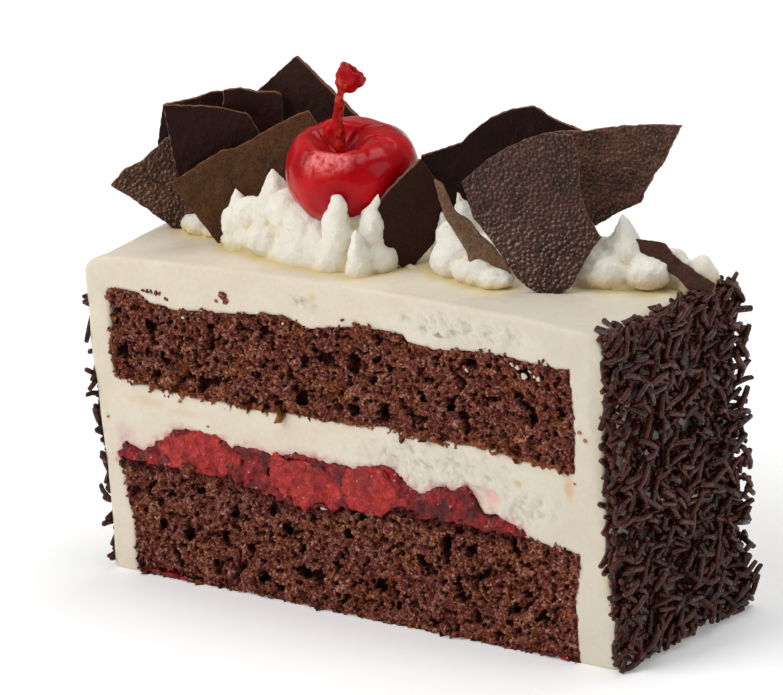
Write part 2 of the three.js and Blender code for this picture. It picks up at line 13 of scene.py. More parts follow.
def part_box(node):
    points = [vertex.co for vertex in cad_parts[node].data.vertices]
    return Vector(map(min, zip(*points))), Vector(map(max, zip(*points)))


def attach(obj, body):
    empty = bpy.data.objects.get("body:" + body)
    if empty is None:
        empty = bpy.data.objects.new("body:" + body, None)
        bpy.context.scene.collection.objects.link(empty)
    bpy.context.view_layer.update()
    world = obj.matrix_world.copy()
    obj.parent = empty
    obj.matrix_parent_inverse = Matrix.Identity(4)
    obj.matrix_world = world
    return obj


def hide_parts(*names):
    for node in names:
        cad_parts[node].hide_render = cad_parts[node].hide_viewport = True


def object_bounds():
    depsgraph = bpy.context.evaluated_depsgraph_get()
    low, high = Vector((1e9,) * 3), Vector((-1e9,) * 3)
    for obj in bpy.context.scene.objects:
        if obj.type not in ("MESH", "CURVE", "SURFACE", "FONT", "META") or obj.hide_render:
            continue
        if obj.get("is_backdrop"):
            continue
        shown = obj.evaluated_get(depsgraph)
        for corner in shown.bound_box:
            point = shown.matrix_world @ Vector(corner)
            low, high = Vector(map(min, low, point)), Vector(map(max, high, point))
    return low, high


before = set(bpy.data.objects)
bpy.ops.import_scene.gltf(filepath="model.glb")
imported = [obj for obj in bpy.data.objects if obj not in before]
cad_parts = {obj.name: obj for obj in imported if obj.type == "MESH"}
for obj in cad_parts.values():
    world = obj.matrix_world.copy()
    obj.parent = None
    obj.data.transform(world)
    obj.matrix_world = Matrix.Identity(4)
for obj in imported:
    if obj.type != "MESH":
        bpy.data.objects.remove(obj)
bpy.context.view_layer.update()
bpy.ops.object.select_all(action="DESELECT")


# ---------------------------------------------------------------- bottom sponge
# A sheet of dark chocolate sponge, baked, trimmed and cut through with a knife. The cut
# opens its crumb: moist clumps with pores between them, and a darker baked skin.

MM = 0.001
HALF_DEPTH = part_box("sponge_bottom")[1].y
CRUMB_VOXEL = 0.46 * MM
# How deep the crumb is open behind a cut face, and how far its rim and skin reach.
CUT_BAND = 1.5 * MM
RIM_REACH = 1.8 * MM
RIM_SWELL = 0.3 * MM
SKIN_REACH = 0.8 * MM
# The share of the mesh that is kept behind the cut faces, where nothing shows.
INSIDE_KEPT = 0.42
WEIGHT_STEPS = 10


def only(piece):
    bpy.ops.object.select_all(action="DESELECT")
    piece.select_set(True)
    bpy.context.view_layer.objects.active = piece


@contextmanager
def edit_mode(selection="SELECT"):
    """Edit mode on the active piece, with all of it selected, none of it, or as it was."""
    bpy.ops.object.mode_set(mode="EDIT")
    if selection:
        bpy.ops.mesh.select_all(action=selection)
    yield
    bpy.ops.object.mode_set(mode="OBJECT")


def deselected():
    """Leaves nothing selected on the active piece, so that faces or edges can be picked."""
    with edit_mode("DESELECT"):
        pass


def copied(node, name):
    """A copy of a CAD node's solid, its doubles merged, to be shaped further."""
    piece = bpy.data.objects.new(name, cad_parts[node].data.copy())
    bpy.context.scene.collection.objects.link(piece)
    only(piece)
    piece.data.materials.clear()
    with edit_mode():
        bpy.ops.mesh.remove_doubles(threshold=0.005 * MM)
        bpy.ops.mesh.normals_make_consistent(inside=False)
    return piece


def modified(piece, kind, **settings):
    """Gives the piece a modifier with these settings, and applies it."""
    only(piece)
    modifier = piece.modifiers.new(kind, kind)
    for setting, value in settings.items():
        setattr(modifier, setting, value)
    bpy.ops.object.modifier_apply(modifier=modifier.name)


def remeshed(piece, voxel):
    modified(piece, "REMESH", mode="VOXEL", voxel_size=voxel)
    bpy.ops.object.shade_smooth()


def relief(piece, kind, size, height, middle=0.5, where="", along="NORMAL", stops=(), **settings):
    """Raises and lowers the surface by a cloudy or cellular pattern of this size."""
    pattern = bpy.data.textures.new(kind, kind)
    pattern.noise_scale = size
    for setting, value in settings.items():
        setattr(pattern, setting, value)
    if stops:
        pattern.use_color_ramp = True
        for element, (position, grey) in zip(pattern.color_ramp.elements, stops):
            element.position = position
            element.color = (grey, grey, grey, 1)
    modified(
        piece, "DISPLACE", texture=pattern, texture_coords="LOCAL", direction=along,
        strength=height, mid_level=middle, vertex_group=where,
    )


def points_of(piece):
    """The places of all the piece's points, one row each."""
    places = np.empty(3 * len(piece.data.vertices))
    piece.data.vertices.foreach_get("co", places)
    return places.reshape(-1, 3)


def moved(piece, places):
    """Puts all the piece's points at these places."""
    piece.data.vertices.foreach_set("co", places.ravel())
    piece.data.update()


def eased(values, low, high):
    """0 below low, 1 above high, and smooth between them. It falls where high is lower."""
    share = np.clip((values - low) / (high - low), 0, 1)
    return share * share * (3 - 2 * share)


def weighed(piece, name, weights):
    """Stores a weight from 0 to 1 for each point, in steps of a tenth."""
    group = piece.vertex_groups.new(name=name)
    steps = np.round(WEIGHT_STEPS * weights).astype(int)
    for step in range(1, WEIGHT_STEPS + 1):
        group.add(np.flatnonzero(steps == step).tolist(), step / WEIGHT_STEPS, "REPLACE")


def colour(red, green, blue):
    """A screen colour from 0 to 255 as the linear colour that a shader takes."""
    return tuple(
        c / 12.92 if c <= 0.04045 else ((c + 0.055) / 1.055) ** 2.4
        for c in (red / 255, green / 255, blue / 255)
    ) + (1.0,)


class Field:
    """A value that changes over a surface. Sums and products of fields add Math nodes."""

    def __init__(self, finish, socket):
        self.finish = finish
        self.socket = socket

    def joined(self, operation, first, second):
        settings = {"operation": operation}
        return self.finish.node("ShaderNodeMath", settings, {0: first, 1: second})

    def __add__(self, other):
        return self.joined("ADD", self, other)

    def __radd__(self, other):
        return self.joined("ADD", other, self)

    def __sub__(self, other):
        return self.joined("SUBTRACT", self, other)

    def __rsub__(self, other):
        return self.joined("SUBTRACT", other, self)

    def __mul__(self, other):
        return self.joined("MULTIPLY", self, other)

    def __rmul__(self, other):
        return self.joined("MULTIPLY", other, self)


class Finish:
    """A material on a Principled shader, whose unchanging sockets are given by name."""

    def __init__(self, name, **constants):
        self.material = bpy.data.materials.new(name)
        self.material.use_nodes = True
        self.nodes = self.material.node_tree.nodes
        self.links = self.material.node_tree.links
        self.shader = self.nodes["Principled BSDF"]
        for socket, value in constants.items():
            self.shader.inputs[socket.replace("_", " ")].default_value = value
        self.place = self.node("ShaderNodeTexCoord", output="Object")

    def node(self, kind, settings=None, inputs=None, output=0):
        made = self.nodes.new(kind)
        for setting, value in (settings or {}).items():
            if setting == "stops":
                self.set_stops(made.color_ramp, value)
            else:
                setattr(made, setting, value)
        for socket, value in (inputs or {}).items():
            if isinstance(value, Field):
                self.links.new(value.socket, made.inputs[socket])
            else:
                made.inputs[socket].default_value = value
        return Field(self, made.outputs[output])

    @staticmethod
    def set_stops(ramp, stops):
        while len(ramp.elements) < len(stops):
            ramp.elements.new(1.0)
        for element, (position, value) in zip(ramp.elements, stops):
            element.position = position
            element.color = value

    def cloud(self, size, detail, roughness=0.55):
        """Cloudy noise from 0 to 1 with lumps of this size."""
        inputs = {
            "Vector": self.place, "Scale": 1 / size, "Detail": detail, "Roughness": roughness,
        }
        return self.node("ShaderNodeTexNoise", None, inputs)

    def cells(self, size, place=None, output="Distance"):
        """How far a point is from the middle of its cell, for cells of this size."""
        inputs = {"Vector": place or self.place, "Scale": 1 / size}
        return self.node("ShaderNodeTexVoronoi", None, inputs, output)

    def ramp(self, field, stops):
        """A colour for each level of the field, by stops of (level, screen colour)."""
        stops = [(level, colour(*tint)) for level, tint in stops]
        return self.node("ShaderNodeValToRGB", {"stops": stops}, {"Fac": field})

    def step(self, field, low, high):
        """0 where the field is below low and 1 above high. It falls if high is lower."""
        if high < low:
            return 1 - self.step(field, high, low)
        inputs = {"Value": field, "From Min": low, "From Max": high}
        return self.node("ShaderNodeMapRange", {"interpolation_type": "SMOOTHSTEP"}, inputs)

    def mixed(self, share, first, second):
        """The first colour, turning to the second where the share is 1."""
        inputs = {0: share, 6: first, 7: second}
        return self.node("ShaderNodeMix", {"data_type": "RGBA"}, inputs, 2)

    def tinted(self, base, share, *tint):
        """The base, turning to this screen colour where the share is 1."""
        return self.mixed(share, base, colour(*tint))

    def stored(self, name):
        """A number stored for each of the piece's points."""
        return self.node("ShaderNodeAttribute", {"attribute_name": name}, None, "Fac")

    def axis(self, index):
        """How far the point lies along X, Y or Z, in metres."""
        return self.node("ShaderNodeSeparateXYZ", None, {0: self.place}, index)

    def spot(self, along, up, half_width, half_height):
        """1 in a patch on the front cut at this place in millimetres, fading at its edge."""
        inputs = {
            "Vector": self.place, "Location": (along * MM, -HALF_DEPTH, up * MM),
            "Scale": (half_width * MM, 3 * MM, half_height * MM),
        }
        offset = self.node("ShaderNodeMapping", {"vector_type": "TEXTURE"}, inputs)
        reach = self.node("ShaderNodeVectorMath", {"operation": "LENGTH"}, {0: offset}, "Value")
        return self.step(reach + self.cloud(1.5 * MM, 2), 1.6, 0.7)

    def bump(self, height, distance):
        """Fine relief in the shading, `distance` high where the height field is 1."""
        inputs = {"Height": height, "Distance": distance, "Strength": 1}
        return self.node("ShaderNodeBump", None, inputs)

    def feed(self, **sockets):
        """Links fields to the shader's sockets, such as Base_Color or Roughness."""
        for socket, field in sockets.items():
            self.links.new(field.socket, self.shader.inputs[socket.replace("_", " ")])
        return self.material


def fitted(piece, slot, material, *nodes):
    """Paints a piece, fixes it to the slice, and lets it stand for its CAD nodes."""
    piece.data.materials.clear()
    piece.data.materials.append(material)
    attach(piece, "root")
    if nodes:
        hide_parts(*nodes)


# The crumb's colours from its pores to its bright grains, where it is moist and dry. They
# are partly the crumb's own tone and partly painted light: painted shade at the pore end
# and painted highlights at the bright end.
GRAIN = 0.42 * MM
MOIST_CRUMB = (
    (0.28, (46, 6, 4)), (0.43, (102, 42, 30)), (0.57, (142, 78, 62)), (0.74, (214, 164, 146)),
)
DRY_CRUMB = (
    (0.28, (52, 12, 0)), (0.43, (108, 50, 20)), (0.57, (152, 86, 42)), (0.74, (214, 158, 112)),
)


def sponge_finish():
    finish = Finish("chocolate_sponge", Specular_IOR_Level=0.2)
    grains = finish.cells(GRAIN, output="Color")
    clumps = finish.cloud(2.2 * MM, 2, 0.6)
    crumb = finish.cloud(GRAIN, 3, 0.7)
    tone = grains * 0.36 + clumps * 0.3 + crumb * 0.34
    dry = finish.step(finish.cloud(5 * MM, 3, 0.65), 0.45, 0.62)
    base = finish.mixed(dry * 0.55, finish.ramp(tone, MOIST_CRUMB), finish.ramp(tone, DRY_CRUMB))
    # Painted glints: sparse pale specks that stand in for highlights on the moist crumb.
    painted_glint = finish.step(finish.cells(0.9 * MM), 0.2, 0.1) * finish.step(clumps, 0.5, 0.6)
    base = finish.tinted(base, painted_glint * 0.45, 222, 178, 160)
    base = finish.tinted(base, finish.stored("skin") * 0.7, 168, 96, 50)
    base = finish.tinted(base, finish.stored("stained") * 0.7, 72, 8, 14)
    # Painted shade, near black, in the pores and hollows of the crumb.
    base = finish.tinted(base, finish.stored("sunk"), 48, 6, 0)
    moist = finish.step(grains * 0.5 + crumb * 0.5, 0.54, 0.66)
    return finish.feed(
        Base_Color=base,
        Roughness=0.85 - moist * 0.6,
        Normal=finish.bump(grains * 0.5 + crumb, 0.4 * MM),
    )


def facing(piece):
    """Which way the surface faces at all the piece's points, one row each."""
    normals = np.empty(3 * len(piece.data.vertices))
    piece.data.vertices.foreach_get("normal", normals)
    return normals.reshape(-1, 3)


def stored(piece, name, values):
    """Stores one number for each point, which the piece's material reads by this name."""
    layer = piece.data.attributes.new(name, "FLOAT", "POINT")
    layer.data.foreach_set("value", np.asarray(values, dtype=np.float32))


def nearness(places, others, reach):
    """1 where a place touches one of the others, falling to 0 at the reach."""
    tree = KDTree(len(others))
    for index, place in enumerate(others):
        tree.insert(place, index)
    tree.balance()
    distances = np.array([tree.find(place)[2] for place in places])
    return eased(distances, reach, 0.2 * reach)


def hollows(piece, rounds, least, most):
    """1 where a point lies at least `most` under the surface round it, 0 from `least` up."""
    places = points_of(piece)
    pairs = np.empty(2 * len(piece.data.edges), dtype=np.int32)
    piece.data.edges.foreach_get("vertices", pairs)
    first, second = pairs.reshape(-1, 2).T
    count = len(places)
    neighbours = np.bincount(first, minlength=count) + np.bincount(second, minlength=count)
    smooth = places.copy()
    for _ in range(rounds):
        smooth = np.stack([
            (np.bincount(first, line[second], count) + np.bincount(second, line[first], count))
            / neighbours for line in smooth.T
        ], axis=1)
    return eased(((smooth - places) * facing(piece)).sum(axis=1), least, most)


def grounded(piece):
    """Keeps the piece's foot flat on what the slice stands on."""
    places = points_of(piece)
    places[:, 2] = np.maximum(places[:, 2], 0)
    moved(piece, places)


# Which levels of a cloudy pattern are hollow (0) and which are not (1).
PORES = ((0.28, 0), (0.42, 1))
HOLES = ((0.2, 0), (0.29, 1))
# How squarely a face must look sideways to lie on a cut, and down or left to be skin.
LOOKS_SIDEWAYS = 0.4
LOOKS_OUTWARD = -0.6


def opened_crumb(piece, baked):
    """Opens the crumb on the cut faces, and frays the edges where they meet the cream."""
    remeshed(piece, CRUMB_VOXEL)
    off_middle = np.abs(points_of(piece)[:, 1])
    weighed(piece, "inside", eased(off_middle, HALF_DEPTH - CUT_BAND, HALF_DEPTH - 2 * CUT_BAND))
    modified(piece, "DECIMATE", ratio=INSIDE_KEPT, vertex_group="inside")
    deselected()
    for face in piece.data.polygons:
        on_cut = abs(face.center.y) > HALF_DEPTH - 0.8 * MM
        face.select = on_cut and abs(face.normal.y) > LOOKS_SIDEWAYS
    with edit_mode(None):
        bpy.ops.mesh.subdivide(number_cuts=1)
    places = points_of(piece)
    off_middle = np.abs(places[:, 1])
    cut = eased(off_middle, HALF_DEPTH - 1.2 * MM, HALF_DEPTH - 0.5 * MM)
    normals = facing(piece)
    cut *= eased(np.abs(normals[:, 1]), 0.3, 0.8)
    near_cut = off_middle > HALF_DEPTH - CUT_BAND
    border = places[(np.abs(normals[:, 1]) < 0.5) & near_cut]
    rim = nearness(places, border, RIM_REACH) * (off_middle > HALF_DEPTH - 2 * CUT_BAND)
    if baked:
        outward = (normals[:, 2] < LOOKS_OUTWARD) | (normals[:, 0] < LOOKS_OUTWARD)
        stored(piece, "skin", nearness(places, places[near_cut & outward], SKIN_REACH))
    weighed(piece, "cut", cut)
    weighed(piece, "rim", rim)
    modified(piece, "DISPLACE", strength=RIM_SWELL, mid_level=0, vertex_group="rim")
    relief(piece, "CLOUDS", 2.4 * MM, 2.1 * MM, 0.5, "rim", "Z", noise_depth=0)
    relief(piece, "CLOUDS", 0.9 * MM, 0.7 * MM, 0.5, "rim", "Z", noise_depth=1)
    relief(piece, "VORONOI", 1.1 * MM, -1.2 * MM, 0.4, "rim")
    relief(piece, "CLOUDS", 3 * MM, 1.6 * MM, 1, "cut", stops=HOLES, noise_depth=0)
    relief(piece, "CLOUDS", 1.15 * MM, 1.25 * MM, 1, "cut", stops=PORES, noise_depth=1)
    relief(piece, "CLOUDS", 2.4 * MM, 0.7 * MM, 0.5, "cut", noise_depth=0)
    relief(piece, "VORONOI", 0.72 * MM, -0.95 * MM, 0.4, "cut")
    relief(piece, "CLOUDS", 0.36 * MM, 0.55 * MM, 0.5, "cut", noise_depth=0)
    off_middle = np.abs(points_of(piece)[:, 1])
    # Painted shade for the pores behind the cut and the hollows of the crumb, kept off the frayed
    # rim.
    deep = eased(off_middle, HALF_DEPTH - 0.3 * MM, HALF_DEPTH - 1.2 * MM)
    sunk = np.maximum(deep, hollows(piece, 10, 0.05 * MM, 0.4 * MM))
    stored(piece, "sunk", sunk * (1 - np.minimum(1, 1.6 * rim)))
    grounded(piece)


sponge = sponge_finish()
bottom_sponge = copied("sponge_bottom", "bottom_sponge")
opened_crumb(bottom_sponge, False)
fitted(bottom_sponge, "sponge", sponge, "sponge_bottom")


# ---------------------------------------------------------------- cherry filling
# Dark cherries set in their own thickened juice, spooned over the bottom sponge. The
# jelly fills the spaces between the cherries, dark and glossy, in ragged lumps.

JAM_VOXEL = 0.36 * MM
# Each lump in the front cut is (x, height, half size), in millimetres.
JAM_LUMPS = (
    (-50.6, 24, 1.6), (-21.2, 24.8, 3.4), (8.6, 27.4, 2.2), (12.2, 26.4, 2.8),
    (18.7, 25, 2.6), (22, 24.2, 2.2), (26, 26, 2.6), (32, 23.6, 2),
)
LUMP_DEPTH = 5 * MM
JAM_SWELL = 0.3 * MM
STAINED_CRUMB_REACH = 2.2 * MM


def jam_finish():
    finish = Finish(
        "cherry_jelly", Subsurface_Weight=0.2, Subsurface_Radius=(2.0, 0.4, 0.5),
        Subsurface_Scale=0.8 * MM, Specular_IOR_Level=0.25,
    )
    lumps = finish.cloud(2.4 * MM, 3, 0.6)
    fine = finish.cloud(0.7 * MM, 2, 0.6)
    bright = finish.step(finish.cloud(4 * MM, 2), 0.44, 0.6)
    deep = finish.mixed(finish.step(lumps, 0.38, 0.6), colour(62, 2, 8), colour(112, 22, 26))
    red = finish.mixed(finish.step(lumps, 0.38, 0.6), colour(120, 2, 8), colour(170, 28, 28))
    # Painted glints: small pale specks that stand in for highlights on the wet jelly.
    painted_glint = finish.step(finish.cells(1.3 * MM), 0.2, 0.07) * finish.step(lumps, 0.48, 0.56)
    base = finish.mixed(bright * 0.7, deep, red)
    return finish.feed(
        Base_Color=finish.tinted(base, painted_glint * 0.8, 232, 178, 174),
        Roughness=0.07 + fine * 0.2,
        Normal=finish.bump(lumps + fine * 0.4, 0.6 * MM),
    )


def ball(name, place, halves, tilt=0):
    """A round form with these half sizes, tilted about Y by so many degrees."""
    bpy.ops.mesh.primitive_uv_sphere_add(segments=48, ring_count=24, radius=1)
    made = bpy.context.object
    made.name = name
    with edit_mode():
        bpy.ops.transform.resize(value=halves, center_override=(0, 0, 0))
        bpy.ops.transform.rotate(
            value=math.radians(tilt), orient_axis="Y", center_override=(0, 0, 0)
        )
        bpy.ops.transform.translate(value=place)
    return made


def joined(pieces, name):
    """Several pieces made one, named for what they form."""
    bpy.ops.object.select_all(action="DESELECT")
    for piece in pieces:
        piece.select_set(True)
    bpy.context.view_layer.objects.active = pieces[0]
    bpy.ops.object.join()
    whole = bpy.context.object
    whole.name = name
    return whole


jam_parts = [copied("cherry_filling", "cherry_jelly")]
modified(jam_parts[0], "DISPLACE", strength=JAM_SWELL, mid_level=0)
for along, up, size in JAM_LUMPS:
    place = (along * MM, -(HALF_DEPTH - LUMP_DEPTH + 0.2 * MM), up * MM)
    halves = (size * MM, LUMP_DEPTH, 1.1 * size * MM)
    jam_parts.append(ball("jelly_lump", place, halves))
jam = joined(jam_parts, "cherry_jelly")
remeshed(jam, JAM_VOXEL)
jam_reach = np.abs(points_of(jam)[:, 1])
weighed(jam, "cut", eased(jam_reach, HALF_DEPTH - 2.5 * MM, HALF_DEPTH - 0.5 * MM))
relief(jam, "CLOUDS", 2.2 * MM, 2.2 * MM, 0.48, "cut", noise_depth=2)
relief(jam, "CLOUDS", 0.9 * MM, 0.9 * MM, 0.5, "cut", noise_depth=1)
jelly = jam_finish()
fitted(jam, "jam", jelly, "cherry_filling")
stained = nearness(points_of(bottom_sponge), points_of(jam)[::4], STAINED_CRUMB_REACH)
stored(bottom_sponge, "stained", stained)

# Juice has run down to the foot of the cut in two places. Each drip is (x, height, half
# width), in millimetres.
FOOT_DRIPS = (
    (-47, 0.9, 1.6), (-43.6, 0.7, 2.2), (-40.2, 0.6, 1.4), (43.4, 0.7, 1.8), (46.4, 0.6, 1.3),
)
drips = joined([
    ball("drip", (x * MM, -HALF_DEPTH, z * MM), (half * MM, 0.7 * MM, 0.5 * MM))
    for x, z, half in FOOT_DRIPS
], "jelly_drips")
remeshed(drips, 0.2 * MM)
relief(drips, "CLOUDS", 0.9 * MM, 0.3 * MM, 0.7, noise_depth=1)
grounded(drips)
fitted(drips, "jam", jelly)


# ---------------------------------------------------------------- cherries in the filling
# Stoned sour cherries, pressed flat between the layers. Those on a cut face are sliced
# open, so their wet pulp shows, paler than the skin.

# Each is (x, height, half width, half height, tilt in degrees), in the part's millimetres.
FILLING_CHERRIES = {
    "filling_cherry_front_1": (-34.6, 25.8, 10.6, 4.6, 4),
    "filling_cherry_front_2": (-10, 24.3, 10, 5.2, -4),
    "filling_cherry_front_3": (5, 24.6, 8, 4.6, 6),
    "filling_cherry_back_1": (-28, 25.7, 9.6, 4.4, -6),
    "filling_cherry_back_2": (2, 24.4, 10, 5, 5),
    "filling_cherry_back_3": (20, 24.6, 8, 4, -5),
}
FILLING_CHERRY_REACH = 7 * MM
FILLING_CHERRY_INSET = 3 * MM
SLICED_PAST_CUT = 0.45 * MM
# The pulp's colours from its deepest threads to its bright ones.
PULP_TONES = (
    (0.32, (112, 2, 4)), (0.45, (156, 14, 14)), (0.57, (192, 42, 32)), (0.74, (222, 110, 94)),
)


def pulp_finish():
    finish = Finish(
        "cherry_pulp", Subsurface_Weight=0.15, Subsurface_Radius=(2.0, 0.4, 0.3),
        Subsurface_Scale=0.6 * MM, Specular_IOR_Level=0.4,
    )
    lumps = finish.cloud(1.8 * MM, 3, 0.6)
    threads = finish.cloud(0.5 * MM, 3, 0.65)
    stain = finish.step(finish.cloud(5.5 * MM, 2), 0.52, 0.66)
    # Painted glints: small pale specks that stand in for highlights on the wet pulp.
    painted_glint = finish.step(finish.cells(1.4 * MM), 0.18, 0.06) * finish.step(lumps, 0.5, 0.56)
    red = finish.ramp(lumps * 0.6 + threads * 0.4, PULP_TONES)
    red = finish.tinted(red, stain * 0.55, 92, 8, 16)
    return finish.feed(
        Base_Color=finish.tinted(red, painted_glint * 0.7, 236, 176, 164),
        Roughness=0.1 + threads * 0.3,
        Normal=finish.bump(lumps * 0.6 + threads * 0.8, 0.6 * MM),
    )


pulp = pulp_finish()
for node, (along, up, half_width, half_height, tilt) in FILLING_CHERRIES.items():
    side = -1 if "front" in node else 1
    sliced = ball(
        node.replace("filling_cherry", "sliced_cherry"),
        (along * MM, side * (HALF_DEPTH - FILLING_CHERRY_INSET), up * MM),
        (half_width * MM, FILLING_CHERRY_REACH, half_height * MM), tilt,
    )
    with edit_mode():
        bpy.ops.mesh.bisect(
            plane_co=(0, side * (HALF_DEPTH + SLICED_PAST_CUT), 0), plane_no=(0, side, 0),
            use_fill=True, clear_outer=True,
        )
    remeshed(sliced, JAM_VOXEL)
    modified(sliced, "SMOOTH", factor=0.5, iterations=5)
    relief(sliced, "CLOUDS", 4.5 * MM, 3.4 * MM, along="Z", noise_depth=1)
    relief(sliced, "CLOUDS", 5.5 * MM, 3.4 * MM, along="X", noise_depth=1)
    relief(sliced, "CLOUDS", 3.6 * MM, 2.2 * MM, noise_depth=2)
    relief(sliced, "CLOUDS", 0.9 * MM, 0.6 * MM, noise_depth=1)
    fitted(sliced, "cherry", pulp, node)


# ---------------------------------------------------------------- top sponge
# The second sheet of the same sponge, cut with the first, so its crumb matches.

top_sponge = copied("sponge_top", "top_sponge")
opened_crumb(top_sponge, True)
fitted(top_sponge, "sponge", sponge, "sponge_top")


# ---------------------------------------------------------------- cream
# Whipped cream, spread over the cherries and then over the top and both ends with a
# palette knife, and cut open with the slice. It is one body: smooth and wavy outside,
# torn and airy in places on the cut, and stained pink where it touches the cherries.

ICING_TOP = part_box("icing")[1].z
ICING_CORNER = 3.4 * MM
CREAM_VOXEL = 0.5 * MM
CREAM_SWELL = 0.3 * MM
# How much a cutter is widened, so that it passes through both cut faces, and how far its
# second cut is lowered, so that no film of cream stays under the cherries.
CUTTER_REACH = 1.2
CUTTER_DROP = 0.4 * MM
# The mesh is kept whole from these heights and lengths on, and thinner inside them.
TOP_SKIN = (57 * MM, 58.5 * MM)
END_SKIN = (55 * MM, 56 * MM)
CREAM_INSIDE_KEPT = 0.6
DOME_RISE = 2.2 * MM
# The icing is higher at the back of the left end, from these places on.
BACK_CORNER_RISE = 1.9 * MM
BACK_CORNER_X = (-46 * MM, -57 * MM)
BACK_CORNER_Y = (-18 * MM, 4 * MM)
STAIN_REACH = 1.7 * MM
# The painted shade on the cream deepens from the middle to here along X.
RIGHT_SHADE_DARKEST_AT = 58 * MM
# How far out each end of the icing stands at these heights, in millimetres.
END_HEIGHTS = (0, 8, 19, 28, 40, 50, 62)
RIGHT_END = (57.4, 58, 56.6, 57.1, 57, 58.1, 58.2)
LEFT_END = (-57.5, -57.1, -57.4, -58.2, -58.7, -58.8, -58.9)
# The ends are bent to those lines between these distances from the middle.
RIGHT_BAND = (52 * MM, 56 * MM)
LEFT_BAND = (-54.5 * MM, -57 * MM)
# What the knife has dragged over the front cut, as (x, height, half width, half height,
# strength, colour): crumb, juice, and the syrup of the sponge. The last row is no smear
# but painted shade: a grey strip down the right edge of the cut, beside the strands.
SMEARS_AND_SHADE = (
    (-42.6, 55.1, 2.6, 0.5, 0.5, (150, 104, 84)), (-8, 57.9, 1.8, 0.7, 0.5, (206, 158, 150)),
    (-4.8, 59.2, 1.2, 0.9, 0.7, (212, 190, 128)), (23.3, 56, 1.8, 0.5, 0.6, (110, 66, 44)),
    (32.1, 27.6, 2.8, 2.2, 0.75, (232, 176, 166)), (38.4, 31.1, 1, 0.8, 0.7, (206, 178, 112)),
    (49.6, 31.8, 1.3, 2.8, 0.6, (214, 162, 108)), (-46, 34, 6, 1.4, 0.35, (214, 176, 132)),
    (-37, 33, 5, 1.2, 0.3, (214, 176, 132)), (-52, 27, 3, 2.4, 0.35, (206, 148, 158)),
    (56.4, 16, 0.8, 4, 0.3, (206, 178, 140)), (56.6, 42, 2.8, 24, 0.5, (192, 180, 158)),
)
# Torn patches of the front cut, as (x, height, half width, half height).
TORN_PATCHES = ((20, 31, 27, 7), (28, 57.6, 20, 3.8), (-7, 58, 6, 2), (40, 27, 9, 6))


def end_at(line, heights):
    """Where an end of the icing stands, in metres, at these heights."""
    return np.interp(heights, np.multiply(END_HEIGHTS, MM), np.multiply(line, MM))


def block(name, low, high):
    """A plain block between two corners, to be shaped further."""
    middle = [(a + b) / 2 for a, b in zip(low, high)]
    bpy.ops.mesh.primitive_cube_add(size=1, location=middle)
    made = bpy.context.object
    made.name = name
    made.scale = [b - a for a, b in zip(low, high)]
    bpy.ops.object.transform_apply(location=True, rotation=False, scale=True)
    return made


def hollowed(piece, node, drop=0):
    """Cuts a CAD node's shape, lowered by `drop`, out of the piece from front to back."""
    cutter = copied(node, "cutter")
    with edit_mode():
        bpy.ops.transform.resize(value=(1, CUTTER_REACH, 1), center_override=(0, 0, 0))
        bpy.ops.transform.translate(value=(0, 0, -drop))
    modified(piece, "BOOLEAN", operation="DIFFERENCE", object=cutter, solver="EXACT")
    bpy.data.objects.remove(cutter)


def cream_finish(name, tint, shade):
    """Whipped cream on its shader, with the fields that its colour and bump start from."""
    finish = Finish(
        name, Subsurface_Weight=0.25, Subsurface_Radius=(1.0, 0.8, 0.5),
        Subsurface_Scale=1.0 * MM, Specular_IOR_Level=0.3,
    )
    swell = finish.cloud(7 * MM, 2, 0.5)
    foam = finish.cloud(0.8 * MM, 4, 0.65)
    base = finish.mixed(finish.step(swell * 0.5 + foam * 0.5, 0.35, 0.65), shade, tint)
    return finish, base, swell, foam


def spread_finish():
    finish, base, swell, foam = cream_finish(
        "cream_spread", colour(226, 216, 197), colour(220, 207, 185)
    )
    torn = finish.stored("airy")
    # Painted shade: the cream turns greyer towards the right end.
    painted_right_shade = finish.step(finish.axis(0), 0, RIGHT_SHADE_DARKEST_AT)
    base = finish.tinted(base, painted_right_shade * 0.3, 198, 194, 180)
    base = finish.tinted(base, torn * 0.6, 230, 225, 209)
    # Painted shade, yellowish, in the hollows of the torn patches.
    base = finish.tinted(base, finish.stored("hollow") * 0.65, 208, 193, 158)
    # Painted shade, yellowish, on the icing round the foot of the piped cream.
    base = finish.tinted(base, finish.stored("foot") * 0.6, 228, 208, 138)
    pink = finish.stored("juice") * finish.step(finish.cloud(1.4 * MM, 2), 0.3, 0.75)
    base = finish.tinted(base, pink * 0.85, 212, 124, 126)
    for along, up, half_width, half_height, share, tint in SMEARS_AND_SHADE:
        smear_and_shade = finish.spot(along, up, half_width, half_height)
        base = finish.tinted(base, smear_and_shade * share, *tint)
    return finish.feed(
        Base_Color=base,
        Roughness=0.4 + finish.cloud(2 * MM, 1) * 0.2,
        Normal=finish.bump(swell * 0.4 + foam * (0.08 + torn * 0.9), 0.4 * MM),
    )


cream = block(
    "whipped_cream",
    (LEFT_END[0] * MM + CREAM_SWELL, -HALF_DEPTH + CREAM_SWELL, 0),
    (RIGHT_END[0] * MM - CREAM_SWELL, HALF_DEPTH - CREAM_SWELL, ICING_TOP - CREAM_SWELL),
)
bpy.context.tool_settings.mesh_select_mode = (False, True, False)
deselected()
for edge in cream.data.edges:
    ends = [cream.data.vertices[index].co for index in edge.vertices]
    along_depth = abs(ends[0].y - ends[1].y) > HALF_DEPTH
    edge.select = along_depth and ends[0].z > ICING_TOP / 2
with edit_mode(None):
    bpy.ops.mesh.bevel(offset=ICING_CORNER, segments=6)
bpy.context.tool_settings.mesh_select_mode = (True, False, False)
for node in ("sponge_bottom", "sponge_top"):
    hollowed(cream, node)
for node in ("cherry_filling", *FILLING_CHERRIES):
    hollowed(cream, node)
    hollowed(cream, node, CUTTER_DROP)
